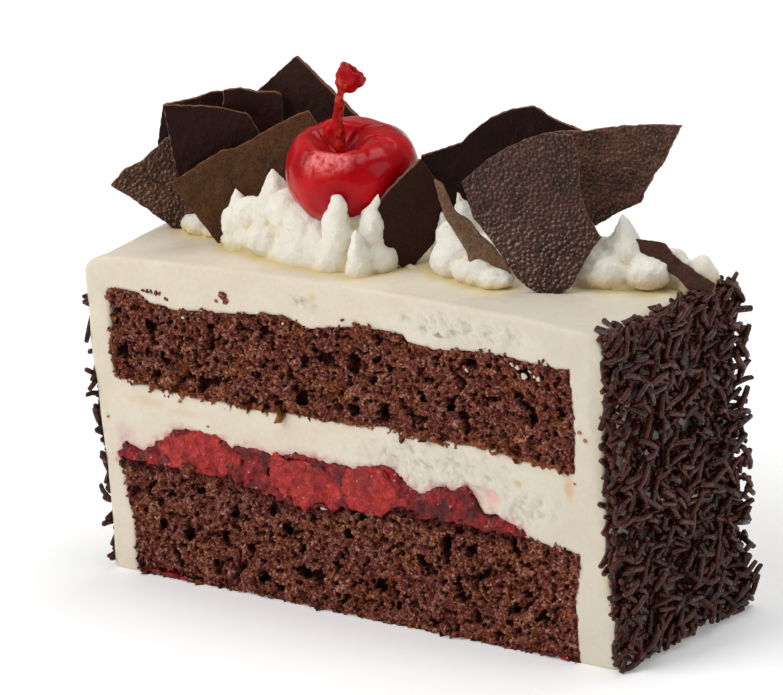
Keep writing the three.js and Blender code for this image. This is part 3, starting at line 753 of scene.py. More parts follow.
remeshed(cream, CREAM_VOXEL)
modified(cream, "DISPLACE", strength=CREAM_SWELL, mid_level=0)
places = points_of(cream)
outer = eased(places[:, 2], *TOP_SKIN)
outer = np.maximum(outer, eased(np.abs(places[:, 0]), *END_SKIN))
depth_in = eased(np.abs(places[:, 1]), HALF_DEPTH - 2 * MM, HALF_DEPTH - 4 * MM)
weighed(cream, "inside", depth_in * (1 - outer))
modified(cream, "DECIMATE", ratio=CREAM_INSIDE_KEPT, vertex_group="inside")
places = points_of(cream)
raised = eased(places[:, 2], ICING_TOP - 8 * MM, ICING_TOP - 2 * MM)
places[:, 2] -= raised * DOME_RISE * (places[:, 0] / (RIGHT_END[0] * MM)) ** 2
back_corner = eased(places[:, 0], *BACK_CORNER_X) * eased(places[:, 1], *BACK_CORNER_Y)
places[:, 2] += raised * BACK_CORNER_RISE * back_corner
right_share = eased(places[:, 0], *RIGHT_BAND)
left_share = eased(places[:, 0], *LEFT_BAND)
places[:, 0] += right_share * (end_at(RIGHT_END, places[:, 2]) - RIGHT_END[0] * MM)
places[:, 0] += left_share * (end_at(LEFT_END, places[:, 2]) - LEFT_END[0] * MM)
moved(cream, places)
on_front = eased(-places[:, 1], HALF_DEPTH - 1.6 * MM, HALF_DEPTH - 0.4 * MM)
torn = np.zeros(len(places))
for along, up, half_width, half_height in TORN_PATCHES:
    off = np.hypot(
        (places[:, 0] / MM - along) / half_width, (places[:, 2] / MM - up) / half_height
    )
    ragged = off + 0.12 * np.sin(places[:, 0] / (0.9 * MM)) * np.sin(places[:, 2] / (0.7 * MM))
    torn = np.maximum(torn, eased(ragged, 1.05, 0.3))
torn *= on_front
weighed(cream, "torn", torn)
relief(cream, "CLOUDS", 14 * MM, 0.9 * MM, noise_depth=1)
relief(cream, "CLOUDS", 4 * MM, 0.3 * MM, noise_depth=2)
relief(cream, "CLOUDS", 3.4 * MM, 2.1 * MM, 0.54, "torn", noise_depth=3)
relief(cream, "CLOUDS", 1.4 * MM, 1.4 * MM, 0.5, "torn", "X", noise_depth=2)
relief(cream, "CLOUDS", 1.1 * MM, 1.4 * MM, 0.5, "torn", noise_depth=2)
grounded(cream)
stored(cream, "airy", torn)
# Painted shade for the hollows of the torn patches.
stored(cream, "hollow", torn * hollows(cream, 8, 0.04 * MM, 0.3 * MM))
stored(cream, "juice", nearness(points_of(cream), points_of(jam)[::3], STAIN_REACH))
fitted(cream, "cream", spread_finish(), "icing", "cream_filling")


# ---------------------------------------------------------------- crumbs
# Crumbs of both sponges that the knife has carried onto the cut face of the cream.

# Each is (x, height, half size) on the front cut, in millimetres.
DARK_CRUMBS = (
    (-25.8, 56.8, 0.95), (-25.2, 55.8, 0.7), (-27.4, 55.6, 0.4), (23.2, 56.1, 0.4),
    (58.6, 39, 0.6), (57.9, 35.6, 0.45), (-31.6, 31.2, 0.35), (40.6, 52.6, 0.5),
    (-44.8, 55.3, 0.4), (-43.9, 55.2, 0.5), (-42.8, 55.4, 0.4), (-41.6, 55.2, 0.55),
    (-40.7, 55.3, 0.35), (-39.4, 54.4, 0.5), (1.6, 55.8, 0.4), (33, 53.8, 0.4),
)
SKIN_CRUMBS = (
    (45.4, 57.7, 0.4), (52.4, 42.6, 0.4), (53.4, 41.3, 0.35), (57.3, 39.4, 0.3),
    (50.7, 33, 0.3), (-38, 35.2, 0.35), (12, 37, 0.3), (56.9, 12, 0.3), (-56, 29.6, 0.3),
)
# A crumb's half width, half depth and half height, for a size of 1.
CRUMB_SHAPE = (1, 0.5, 0.8)
CRUMB_LIFT = 0.1 * MM
SMALL_CRUMB_VOXEL = 0.12 * MM
# Flecks of cream that the knife has carried the other way, onto the top sponge.
CREAM_FLECKS = (
    (39.9, 52.4, 0.5), (41.2, 51.1, 0.6), (42.4, 52.1, 0.35), (44.2, 51, 0.5), (43.4, 51.3, 0.3),
    (28.7, 50.4, 0.35), (38.6, 52.9, 0.4), (-35.6, 51.4, 0.3), (-12.2, 53.4, 0.3),
)


def crumbs(name, places, slot, material):
    """Crumbs lying on the front cut, each pressed nearly halfway into it."""
    lying = []
    for x, z, size in places:
        halves = [share * size * MM for share in CRUMB_SHAPE]
        lying.append(ball("crumb", (x * MM, -HALF_DEPTH - CRUMB_LIFT, z * MM), halves))
    pile = joined(lying, name)
    remeshed(pile, SMALL_CRUMB_VOXEL)
    relief(pile, "CLOUDS", 0.5 * MM, 0.7 * MM, noise_depth=1)
    fitted(pile, slot, material)


def skin_crumb_finish():
    finish = Finish("baked_skin", Specular_IOR_Level=0.4)
    grain = finish.cloud(0.4 * MM, 2)
    return finish.feed(
        Base_Color=finish.mixed(grain, colour(150, 84, 34), colour(206, 140, 78)),
        Roughness=0.4 + grain * 0.3,
        Normal=finish.bump(grain, 0.2 * MM),
    )


crumbs("sponge_crumbs", DARK_CRUMBS, "sponge", sponge)
crumbs("skin_crumbs", SKIN_CRUMBS, "sponge", skin_crumb_finish())
crumbs("cream_flecks", CREAM_FLECKS, "cream", cream.data.materials[0])


# ---------------------------------------------------------------- sprinkles
# Dark chocolate strands, pressed by the handful into the wet icing of both ends. They
# lie on each other every way round, and some of them stand out.

STRAND_LENGTH = 4.3 * MM
STRAND_RADIUS = 0.56 * MM
STRAND_SIDES = 6
# A strand's shape, as (share of the way from its middle to an end, share of its radius).
STRAND_SHAPE = ((-1, 0.45), (-0.93, 0.88), (-0.45, 1), (0.4, 1), (0.92, 0.9), (1, 0.5))
STRAND_BENDS = {"strand_straight": 0, "strand_bowed": 0.3 * MM, "strand_bent": 0.6 * MM}
# How the lengths and the thicknesses of strands vary.
LENGTHS = (0.65, 1.3)
THICKNESSES = (0.85, 1.12)
# How far a strand turns from lying level, how far its place crowds to the edges, and the
# share of it that may hang over them.
MOST_TURN = 1.3
CROWDING = 1.4
OVERHANG = 0.55
# Strands that stand out of the heap, how steeply they stand, and up to where one lies.
STANDING_SHARE = 0.07
STANDING_SLOPES = (0.4, 0.9)
LYING_SLOPE = 0.35
SETTLING_TRIES = 6
# The heap's surface is kept in cells of this size. A strand feels it at these shares of
# its length from its middle.
FIELD_CELL = 0.25 * MM
FEELERS = np.linspace(-0.5, 0.5, 9)
# The heap thins out towards the foot and the top: its share of the full depth by height.
HEAP_HEIGHTS = (0, 14 * MM, 46 * MM, 62 * MM)
HEAP_SHARES = (0.7, 1, 1, 0.45)
# Bare spots that the strands have missed on the right end, as (y, height, radius).
BARE_SPOTS = (
    (-14.6, 44.5, 1.5), (-12.4, 40.6, 1.3), (-15.8, 38.4, 1.4), (-9.6, 42.6, 1.2),
    (-16.4, 25, 1.6), (-7.2, 35.4, 1), (-13.8, 17, 1), (-4, 28.6, 0.9), (4, 39, 1),
    (-10.8, 9.6, 1.1), (9.6, 22.8, 1), (-2, 14.4, 0.9),
)


def drawn(name, rings, sides):
    """A closed form drawn ring by ring. A ring is its middle and its radius."""
    middle, radius = rings[0]
    bpy.ops.mesh.primitive_circle_add(vertices=sides, radius=radius, fill_type="NGON")
    made = bpy.context.object
    made.name = name
    with edit_mode():
        bpy.ops.transform.translate(value=middle)
        last_middle, last_radius = Vector(middle), radius
        for middle, radius in rings[1:]:
            step = Vector(middle) - last_middle
            bpy.ops.mesh.extrude_region_move(TRANSFORM_OT_translate={"value": step})
            size = radius / last_radius
            bpy.ops.transform.resize(value=(size, size, size), center_override=middle)
            last_middle, last_radius = Vector(middle), radius
        bpy.ops.mesh.select_all(action="SELECT")
        bpy.ops.mesh.normals_make_consistent(inside=False)
    return made


def strand(name, bend):
    """One strand along Z about its middle, bowed sideways by `bend`."""
    rings = []
    for share, radius in STRAND_SHAPE:
        bow = bend * (1 - share * share)
        rings.append(((bow, 0, share * STRAND_LENGTH / 2), radius * STRAND_RADIUS))
    return drawn(name, rings, STRAND_SIDES)


def laid(strands, chance, stand):
    """A copy of one of the strands, laid as `stand` says, in a tone of its own."""
    model = chance.choice(strands)
    made = model.copy()
    made.data = model.data.copy()
    made.data.transform(stand())
    stored(made, "tone", [chance.random()] * len(made.data.vertices))
    bpy.context.scene.collection.objects.link(made)
    return made


def settled(surface, chance, length, radius, top, depth, bare):
    """Where a strand comes to lie: the lowest on the heap of a few places that it tries."""
    last_column, last_row = np.array(surface.shape) - 1
    best = None
    for _ in range(SETTLING_TRIES):
        angle = chance.uniform(-MOST_TURN, MOST_TURN)
        reach_y = abs(math.cos(angle)) * length / 2
        reach_z = abs(math.sin(angle)) * length / 2
        half_way = HALF_DEPTH + radius - OVERHANG * reach_y
        crowded = half_way * math.sin(chance.uniform(-CROWDING, CROWDING))
        across = HALF_DEPTH + crowded / math.sin(CROWDING)
        height = chance.uniform(0.2 * MM + reach_z, top - 0.4 * reach_z)
        ys = np.clip((across + FEELERS * length * math.cos(angle)) / FIELD_CELL, 0, last_column)
        zs = np.clip((height + FEELERS * length * math.sin(angle)) / FIELD_CELL, 0, last_row)
        level = surface[ys.astype(int), zs.astype(int)].max()
        # A bare spot counts as far too high to lie on.
        for bare_y, bare_z, bare_radius in bare:
            off = np.hypot(
                ys * FIELD_CELL - HALF_DEPTH - bare_y * MM, zs * FIELD_CELL - bare_z * MM
            )
            level += 10 * depth * (off.min() < bare_radius * MM)
        if best is None or level < best[0]:
            best = (level, angle, across, height, ys.astype(int), zs.astype(int))
    return best


def heaped(name, strands, count, top, depth, end_line, outward, seed, bare):
    """Piles strands on an end of the slice, each resting on those below it."""
    chance = random.Random(seed)
    surface = np.zeros((int(2 * HALF_DEPTH / FIELD_CELL) + 1, int(ICING_TOP / FIELD_CELL) + 1))
    pieces = []
    for _ in range(count):
        length = STRAND_LENGTH * chance.uniform(*LENGTHS)
        thick = chance.uniform(*THICKNESSES)
        radius = STRAND_RADIUS * thick
        level, angle, across, height, ys, zs = settled(
            surface, chance, length, radius, top, depth, bare
        )
        if level > 5 * depth:
            continue
        # It slopes with the heap under it, unless it is one of those that stand out.
        under = surface[ys, zs]
        middle = len(FEELERS) // 2
        rise = under[middle + 1:].max() - under[:middle].max()
        slope = math.atan2(0.7 * rise, 0.6 * length)
        if chance.random() < STANDING_SHARE:
            slope = chance.choice((-1, 1)) * chance.uniform(*STANDING_SLOPES)
        steepest = STANDING_SLOPES[1]
        slope = max(-steepest, min(steepest, slope))
        rest = under.max()
        if abs(slope) <= LYING_SLOPE:
            rest = max(under.mean() + 0.3 * radius, rest * 0.8)
        lift = rest + 0.55 * radius
        pushed = lift * np.interp(height, HEAP_HEIGHTS, HEAP_SHARES)
        # The heap is now higher in the cells round every place where the strand is felt.
        tops = lift + FEELERS * length * math.sin(slope) + 0.8 * radius
        cell_reach = int(round(radius / FIELD_CELL))
        for y, z, level_top in zip(ys, zs, tops):
            near_y = slice(max(0, y - cell_reach), y + cell_reach + 1)
            near_z = slice(max(0, z - cell_reach), z + cell_reach + 1)
            patch = surface[near_y, near_z]
            np.maximum(patch, min(level_top, depth), out=patch)
        out = end_at(end_line, height) + outward * pushed
        pieces.append(laid(strands, chance, lambda: (
            Matrix.Translation((out, across - HALF_DEPTH, height))
            @ Matrix.Rotation(math.pi / 2 - angle, 4, "X")
            @ Matrix.Rotation(outward * slope, 4, "Y")
            @ Matrix.Rotation(chance.uniform(0, 2 * math.pi), 4, "Z")
            @ Matrix.Diagonal((thick, thick, length / STRAND_LENGTH, 1))
        )))
    heap = joined(pieces, name)
    bpy.ops.object.shade_smooth()
    return heap


def strand_finish():
    finish = Finish("chocolate_strand", Specular_IOR_Level=0.32)
    tone = finish.stored("tone")
    waxy = finish.cloud(0.8 * MM, 3, 0.6)
    base = finish.mixed(tone * 0.7 + waxy * 0.3, colour(28, 4, 0), colour(82, 34, 18))
    # Painted sheen: pale specks over the strands that stand in for their highlights.
    painted_sheen = finish.step(finish.cloud(0.5 * MM, 2), 0.58, 0.72)
    base = finish.tinted(base, painted_sheen * 0.4, 156, 132, 122)
    return finish.feed(
        Base_Color=base,
        Roughness=0.2 + waxy * 0.12,
        Normal=finish.bump(waxy, 0.2 * MM),
    )


strand_models = [strand(name, bend) for name, bend in STRAND_BENDS.items()]
strand_material = strand_finish()
right_strands = heaped(
    "strands_right", strand_models, 1120, ICING_TOP - 1.2 * MM, 4.2 * MM, RIGHT_END, 1, 4,
    BARE_SPOTS,
)
left_strands = heaped(
    "strands_left", strand_models, 340, ICING_TOP - 9 * MM, 0.7 * MM, LEFT_END, -1, 9, (),
)

# Some have rolled over the edge onto the top of the icing, and some lie along the two
# upright edges, half over the cut.
TOP_STRANDS = 34
UPRIGHT_STRANDS = 34
STRAY_LENGTHS = (0.6, 1.1)
stray = random.Random(12)


def stray_strand(place, *turns):
    """One strand laid at a place, turned by (angle, axis) in this order."""
    stand = Matrix.Translation(place)
    for angle, axis in turns:
        stand = stand @ Matrix.Rotation(angle, 4, axis)
    return laid(strand_models, stray, lambda: (
        stand @ Matrix.Diagonal((1, 1, stray.uniform(*STRAY_LENGTHS), 1))
    ))


edge_pieces = []
for number in range(TOP_STRANDS):
    inward = stray.uniform(-0.4, 2.4) * MM
    across = HALF_DEPTH * ((2 * number + 1) / TOP_STRANDS - 1)
    up = ICING_TOP - DOME_RISE + (0.2 * MM if inward > MM else -0.3 * MM)
    edge_pieces.append(stray_strand(
        (RIGHT_END[-1] * MM - inward, across, up),
        (stray.uniform(0, math.pi), "Z"), (math.pi / 2 + stray.uniform(-0.5, 0.5), "Y"),
    ))
for side in (-1, 1):
    for number in range(UPRIGHT_STRANDS):
        up = 2 * MM + (ICING_TOP - 6 * MM) * (number + stray.uniform(0, 1)) / UPRIGHT_STRANDS
        out = end_at(RIGHT_END, up) + stray.uniform(-0.2, 0.5) * MM
        across = side * (HALF_DEPTH - stray.uniform(-0.5, 1.3) * MM)
        edge_pieces.append(stray_strand(
            (out, across, up),
            (stray.uniform(-MOST_TURN, MOST_TURN), "X"), (stray.uniform(-0.3, 0.3), "Y"),
        ))
right_strands = joined([right_strands, *edge_pieces], "strands_right")
for strands in (right_strands, left_strands):
    grounded(strands)
    fitted(strands, "chocolate", strand_material, "icing")
for model in strand_models:
    bpy.data.objects.remove(model)


# ---------------------------------------------------------------- piped cream
# Soft whipped cream piped on the icing in short overlapping pulls. Where the bag is
# lifted away each pull is drawn to a peak, and the airy cream stays lumpy.

PIPED_BASE = 59
PIPED_RINGS = 9
PIPED_SIDES = 16
PIPED_VOXEL = 0.42 * MM
PULL_TIP = 0.15 * MM
PIPED_FOOT_TOP = 65 * MM
FOOT_SHADE_REACH = 3.2 * MM
# Each pull is (foot x, foot y, radius, tip x, tip y, tip height, sharpness), in millimetres.
PIPED_CREAM = {
    "cream_under_cherry": (
        (-14, -2, 12, -13, -2, 75, 0.1), (-27, -1, 8.4, -26.5, -1, 69, 0.1),
        (-31.8, -4.4, 4.4, -34, -4, 72.4, 0.7), (-25, -3, 6, -25.4, -3.2, 77, 0.75),
        (-6.6, -10.4, 3.9, -3.1, -12.6, 72.4, 0.25), (-1, -8.2, 4.4, 2.7, -8, 76.4, 0.8),
        (0.4, -12, 2.6, 1, -13, 71, 0.5), (-3, 4, 5, -0.5, 6, 73.5, 0.7),
        (-11, 7.5, 5, -9.5, 11, 74.2, 0.7), (-20.5, 5.5, 4.8, -21.5, 7, 72.4, 0.7),
    ),
    "cream_middle": (
        (11, 2.5, 5.2, 9.3, 1, 71.8, 0.9), (14.5, 2.5, 5.4, 13.4, 1, 75.8, 1),
        (19.5, 2.5, 8, 19, 2.5, 68.5, 0.3),
    ),
    "cream_right": (
        (37.5, 9, 8.6, 38, 9, 68.5, 0.2), (42.5, 8.5, 6, 41.6, 8, 67.6, 0.2),
        (43, 9.6, 5.2, 44, 8, 73.8, 0.9), (46.5, 12.5, 4.8, 47.5, 12, 65.8, 0.3),
        (40, 14, 4.8, 39, 15, 71, 0.7), (54.5, 14, 4.4, 56.8, 14, 66.2, 0.4),
        (50, 14, 4.4, 50.2, 14, 66.8, 0.3),
    ),
    "cream_left": (
        (-41.5, 8.6, 7.4, -41, 8.4, 70, 0.2), (-45, 4, 5.4, -45.2, 3.6, 67.5, 0.3),
        (-50, 9.4, 6, -50.5, 10, 68.5, 0.3), (-36, 13, 5, -35, 13.6, 69.6, 0.5),
        (-45.5, 13, 4.8, -46.5, 14.5, 72, 0.8),
    ),
}
# Each lump is (x, y, height, half width, half depth, half height), in millimetres.
PIPED_LUMPS = {
    "cream_under_cherry": (
        (-33, -5, 65.4, 3.4, 3, 3.8), (-29.4, -5.6, 68, 3.6, 3, 3.4),
        (-19.2, -6.6, 70, 4.2, 4, 4.4), (-23.6, -6.6, 69.6, 3.6, 3, 3.6),
        (-14.6, -8.6, 69.2, 3.6, 3, 3.4), (-23.4, -8, 64.6, 4.6, 3.4, 3.6),
        (-28.4, -7, 63.8, 3.4, 2.8, 2.6), (-16.4, -8.8, 64.4, 3.8, 3.2, 3.2),
        (-11.6, -9.4, 64, 3.6, 3, 3), (-6, -9.6, 64.4, 4.6, 3.8, 3.4),
        (-2.2, -7.8, 69, 3.5, 3.1, 3.6), (2, -7.4, 64, 3, 3.6, 3.2),
        (0.8, -11.6, 64.4, 1.8, 2.2, 4), (-36.2, -4.8, 62.4, 1.4, 1.2, 1.1),
        (-3, -12.7, 73.6, 1.8, 1.7, 3.2), (-4.3, -11.9, 69.8, 2.8, 2.4, 4.4),
        (1.4, -9, 70.6, 2.4, 2.2, 3.4),
    ),
    "cream_middle": (
        (15.6, -3.6, 64.6, 4.8, 4, 4), (12, -1.6, 63.6, 3, 3, 2.6),
        (21.4, -5.8, 63.6, 4.6, 3.2, 2.8), (26, -6.2, 63, 3.8, 2.8, 2),
        (12.8, -1.4, 67.6, 2.6, 2.4, 3), (6.4, -4.8, 62.1, 1.4, 1, 0.9),
        (8.4, -4.4, 62, 1, 0.8, 0.6), (4.6, -5.2, 62, 0.8, 0.7, 0.5),
    ),
    "cream_right": (
        (41, 5.2, 64, 5.6, 4.6, 4), (48.4, 8, 63.4, 4.6, 4, 3.2),
        (43.4, 7.6, 66.6, 4, 3.4, 3),
    ),
    "cream_left": (
        (-46.4, -1, 62.2, 2.6, 1.6, 1.5), (-42.6, -1.6, 62, 2, 1.4, 1.2),
        (-49, 1, 62.4, 2.4, 2, 1.8),
    ),
}


def pull(foot_x, foot_y, radius, tip_x, tip_y, tip_z, sharpness):
    """One pull of the bag: a dome where sharpness is 0, and a drawn cone where it is 1."""
    rings = []
    for ring in range(PIPED_RINGS):
        up = ring / PIPED_RINGS
        round_share = math.sqrt(1 - up * up)
        reach = radius * (round_share + (1 - up - round_share) * sharpness * up)
        drift = up * up
        middle = (
            (foot_x + (tip_x - foot_x) * drift) * MM,
            (foot_y + (tip_y - foot_y) * drift) * MM,
            (PIPED_BASE + (tip_z - PIPED_BASE) * up) * MM,
        )
        rings.append((middle, reach * MM))
    rings.append(((tip_x * MM, tip_y * MM, tip_z * MM), PULL_TIP))
    return drawn("pull", rings, PIPED_SIDES)


def piped_finish():
    finish, base, swell, foam = cream_finish(
        "cream_piped", colour(242, 238, 228), colour(236, 229, 213)
    )
    # Painted shade, yellowish, in the creases and round the foot.
    base = finish.tinted(base, finish.stored("hollow"), 222, 200, 138)
    bubbles = finish.step(finish.cells(0.7 * MM), 0.3, 0.08)
    return finish.feed(
        Base_Color=base,
        Roughness=0.45 + finish.cloud(1 * MM, 1) * 0.2,
        Normal=finish.bump(swell * 0.3 + foam * 0.7 - bubbles * 0.2, 0.35 * MM),
    )


piped_material = piped_finish()
piped_points = []
for node, pulls in PIPED_CREAM.items():
    dollops = [pull(*sizes) for sizes in pulls]
    for x, y, z, half_width, half_depth, half_height in PIPED_LUMPS[node]:
        halves = (half_width * MM, half_depth * MM, half_height * MM)
        dollops.append(ball("lump", (x * MM, y * MM, z * MM), halves))
    mound = joined(dollops, node.replace("cream", "piped"))
    remeshed(mound, PIPED_VOXEL)
    modified(mound, "SMOOTH", factor=0.5, iterations=3)
    relief(mound, "CLOUDS", 3.4 * MM, 0.9 * MM, noise_depth=1)
    relief(mound, "CLOUDS", 1.2 * MM, 0.6 * MM, noise_depth=2)
    # Painted shade for where the mound is low at its foot and where it is creased.
    low = eased(points_of(mound)[:, 2], 64 * MM, 62 * MM)
    crease = hollows(mound, 14, 0.06 * MM, 0.5 * MM)
    stored(mound, "hollow", np.maximum(0.9 * crease, 0.6 * low))
    fitted(mound, "cream", piped_material, node)
    piped_points.append(points_of(mound))
piped_points = np.concatenate(piped_points)
piped_points = piped_points[piped_points[:, 2] < PIPED_FOOT_TOP]
# Painted shade, yellowish, on the icing round the foot of the piped cream.
spread = points_of(cream)
foot = np.zeros(len(spread))
near_top = spread[:, 2] > ICING_TOP - 4 * MM
foot[near_top] = nearness(spread[near_top], piped_points, FOOT_SHADE_REACH)
stored(cream, "foot", foot)


# ---------------------------------------------------------------- cherry
# A stoned cocktail cherry in syrup, so its skin is bright, glossy and a little
# shrunken: a raised ring and fine creases run round the dimple that holds the stem.

CHERRY_CENTRE = Vector((-8.3, -1.5, 78.7)) * MM
CHERRY_LEAN = math.radians(12)
CHERRY_FACING = math.radians(39)
DIMPLE_SIDE = -1.7 * MM
DIMPLE_FRONT = -0.8 * MM
# The skin from the underside to the dimple, as (radius, height) in millimetres.
CHERRY_PROFILE = (
    (0, -9.2), (4.6, -8.9), (8.2, -7.8), (10.3, -6), (11.4, -3.8), (11.8, -1.4),
    (11.8, 1.2), (11.1, 3.3), (9.8, 4.8), (8.2, 5.7), (6.6, 6.1), (5.4, 5.9), (4.4, 5.3),
    (3.4, 4.5), (2.4, 3.6), (1.4, 2.9), (0, 2.6),
)
CHERRY_STEPS = 96
PROFILE_STEPS = 3
# Creases that run out from the dimple, as (degrees round it, depth in millimetres).
CREASES = ((62, 0.5), (20, 0.3), (150, 0.25), (-30, 0.2))
CREASE_BEND = 70
# The skin puckers in a band round the dimple, and a painted highlight lies on the same
# band: (outside, from, to, inside) from its middle.
PUCKER_AND_HIGHLIGHT_BAND = (10.2 * MM, 8.6 * MM, 7 * MM, 5.6 * MM)
# Both lie on the side of the dimple that this turn faces.
PUCKER_AND_HIGHLIGHT_TURN = math.radians(108)
PUCKER_FOLD = 0.05 * MM
# Two sets of fine folds run out from the dimple and cross: (folds in a turn, slant).
FOLD_SETS = ((31, 900), (46, -1500))


def smoothed(points, steps):
    """Points on a smooth line through the given ones."""
    line = []
    padded = [points[0], *points, points[-1]]
    for before, start, end, after in zip(padded, padded[1:], padded[2:], padded[3:]):
        for step in range(steps):
            t = step / steps
            line.append(tuple(
                0.5 * (2 * b + (c - a) * t + (2 * a - 5 * b + 4 * c - d) * t * t
                       + (3 * b - a - 3 * c + d) * t * t * t)
                for a, b, c, d in zip(before, start, end, after)
            ))
    line.append(points[-1])
    return line


def spun(name, profile, steps):
    """A round form turned about Z from a profile of (radius, height)."""
    bpy.ops.mesh.primitive_plane_add(size=MM)
    made = bpy.context.object
    made.name = name
    with edit_mode():
        bpy.ops.mesh.merge(type="CENTER")
        bpy.ops.transform.translate(value=(profile[0][0], 0, profile[0][1]))
        for (radius, height), (next_radius, next_height) in zip(profile, profile[1:]):
            step = (next_radius - radius, 0, next_height - height)
            bpy.ops.mesh.extrude_vertices_move(TRANSFORM_OT_translate={"value": step})
        bpy.ops.mesh.select_all(action="SELECT")
        bpy.ops.mesh.spin(
            steps=steps, angle=2 * math.pi, center=(0, 0, 0), axis=(0, 0, 1)
        )
        bpy.ops.mesh.select_all(action="SELECT")
        bpy.ops.mesh.remove_doubles(threshold=0.01 * MM)
        bpy.ops.mesh.normals_make_consistent(inside=False)
    bpy.ops.object.shade_smooth()
    return made


def on_slice(local):
    """Where a place beside the cherry's middle lies on the slice."""
    turned = Matrix.Rotation(CHERRY_FACING, 4, "Z")
    return Matrix.Translation(CHERRY_CENTRE) @ turned @ local


def skin_finish():
    finish = Finish(
        "cherry_skin", Subsurface_Weight=0.12, Subsurface_Radius=(3.0, 0.2, 0.15),
        Subsurface_Scale=1.5 * MM, Specular_IOR_Level=0.15,
    )
    depth = finish.cloud(6 * MM, 3, 0.5)
    creases = finish.cloud(1.1 * MM, 3, 0.6)
    base = finish.mixed(finish.step(depth, 0.35, 0.7), colour(160, 0, 9), colour(192, 6, 18))
    # Painted shade in the dimple and the creases.
    base = finish.tinted(base, finish.stored("hollow") * 0.15, 120, 0, 6)
    puckered = finish.stored("puckered")
    # Painted highlight: pale pink over the creases of the puckered band in front of the dimple.
    base = finish.tinted(base, puckered * finish.step(creases, 0.25, 0.65) * 0.9, 242, 130, 128)
    return finish.feed(
        Base_Color=base,
        Roughness=0.15 + creases * 0.1,
        Normal=finish.bump(creases * (0.08 + puckered * 0.4) + depth, 0.4 * MM),
    )


skin_line = [(r * MM, h * MM) for r, h in smoothed(CHERRY_PROFILE, PROFILE_STEPS)]
cherry = spun("cocktail_cherry", skin_line, CHERRY_STEPS)
cherry_points = points_of(cherry)
off_axis = np.hypot(cherry_points[:, 0], cherry_points[:, 1])
with_dimple = eased(cherry_points[:, 2], 0.2 * MM, 3 * MM) * eased(off_axis, 11.5 * MM, 6 * MM)
cherry_points[:, 0] += DIMPLE_SIDE * with_dimple
cherry_points[:, 1] += DIMPLE_FRONT * with_dimple
moved(cherry, cherry_points)
modified(cherry, "SUBSURF", levels=2, render_levels=2)
skin_points = points_of(cherry)
off_side, off_front = skin_points[:, 0] - DIMPLE_SIDE, skin_points[:, 1] - DIMPLE_FRONT
from_dimple = np.hypot(off_side, off_front)
round_dimple = np.arctan2(off_front, off_side)
outside, band_start, band_end, inside = PUCKER_AND_HIGHLIGHT_BAND
puckered = eased(from_dimple, outside, band_start) * eased(from_dimple, inside, band_end)
puckered *= eased(skin_points[:, 2], 0.5 * MM, 2.5 * MM)
puckered *= 0.03 + 0.97 * eased(np.cos(round_dimple + PUCKER_AND_HIGHLIGHT_TURN), 0.82, 0.96)
folds = sum(np.sin(turns * round_dimple + slant * from_dimple) for turns, slant in FOLD_SETS)
raised = PUCKER_FOLD * puckered * folds
for turn, depth in CREASES:
    beside = np.cos(round_dimple - math.radians(turn) + CREASE_BEND * from_dimple)
    along_crease = eased(from_dimple, 1.5 * MM, 3.5 * MM) * eased(from_dimple, 11 * MM, 7.5 * MM)
    raised -= depth * MM * eased(beside, 0.98, 1) * along_crease
skin_points += facing(cherry) * raised[:, None]
moved(cherry, skin_points)
cherry.data.transform(on_slice(Matrix.Rotation(CHERRY_LEAN, 4, "X")))
stored(cherry, "puckered", puckered)
weighed(cherry, "pucker", puckered)
relief(cherry, "CLOUDS", 6 * MM, 0.8 * MM, noise_depth=1)
relief(cherry, "CLOUDS", 1.6 * MM, 0.3 * MM, 0.5, "pucker", noise_depth=1)
stored(cherry, "hollow", hollows(cherry, 10, 0.01 * MM, 0.12 * MM))
fitted(cherry, "cherry", skin_finish(), "cherry")


# ---------------------------------------------------------------- stem
# The cherry's own stalk, stained red by the syrup, with the swollen end where it was
# picked from the twig.

STEM_RADIUS = 0.9
# How much wider than that the stalk is where it grows into the dimple.
STEM_FLARE = 1.1
STEM_SIDES = 16
STEM_STEPS = 4
STEM_VOXEL = 0.2 * MM
# The way up from the cherry's middle, and the swollen end as (radius, height).
STEM_ROUTE = ((-1.7, -1.2, 0.4), (-1.8, -1.2, 6), (-1.7, -0.8, 11), (-0.6, -0.6, 14.8))
KNOB_PROFILE = (
    (0, -2.6), (1.4, -2.1), (2.4, -0.6), (2.8, 1.1), (2.5, 1.9), (1.7, 1.7), (1.1, 0.4), (0, -0.2),
)
KNOB_CENTRE = Vector((0.5, -0.6, 16)) * MM
KNOB_TURN = math.radians(40)
KNOB_SIDES = 24


def stem_finish():
    finish = Finish("cherry_stalk", Specular_IOR_Level=0.1)
    grain = finish.cloud(1.1 * MM, 3, 0.6)
    base = finish.mixed(finish.step(grain, 0.35, 0.65), colour(146, 2, 8), colour(188, 26, 22))
    amber = finish.step(finish.cloud(2.2 * MM, 2), 0.56, 0.66)
    base = finish.tinted(base, amber * 0.4, 206, 92, 48)
    # Painted shade in the hollows of the stalk and its swollen end.
    base = finish.tinted(base, finish.stored("hollow") * 0.6, 110, 0, 2)
    return finish.feed(
        Base_Color=base,
        Roughness=0.25 + grain * 0.3,
        Normal=finish.bump(grain, 0.25 * MM),
    )


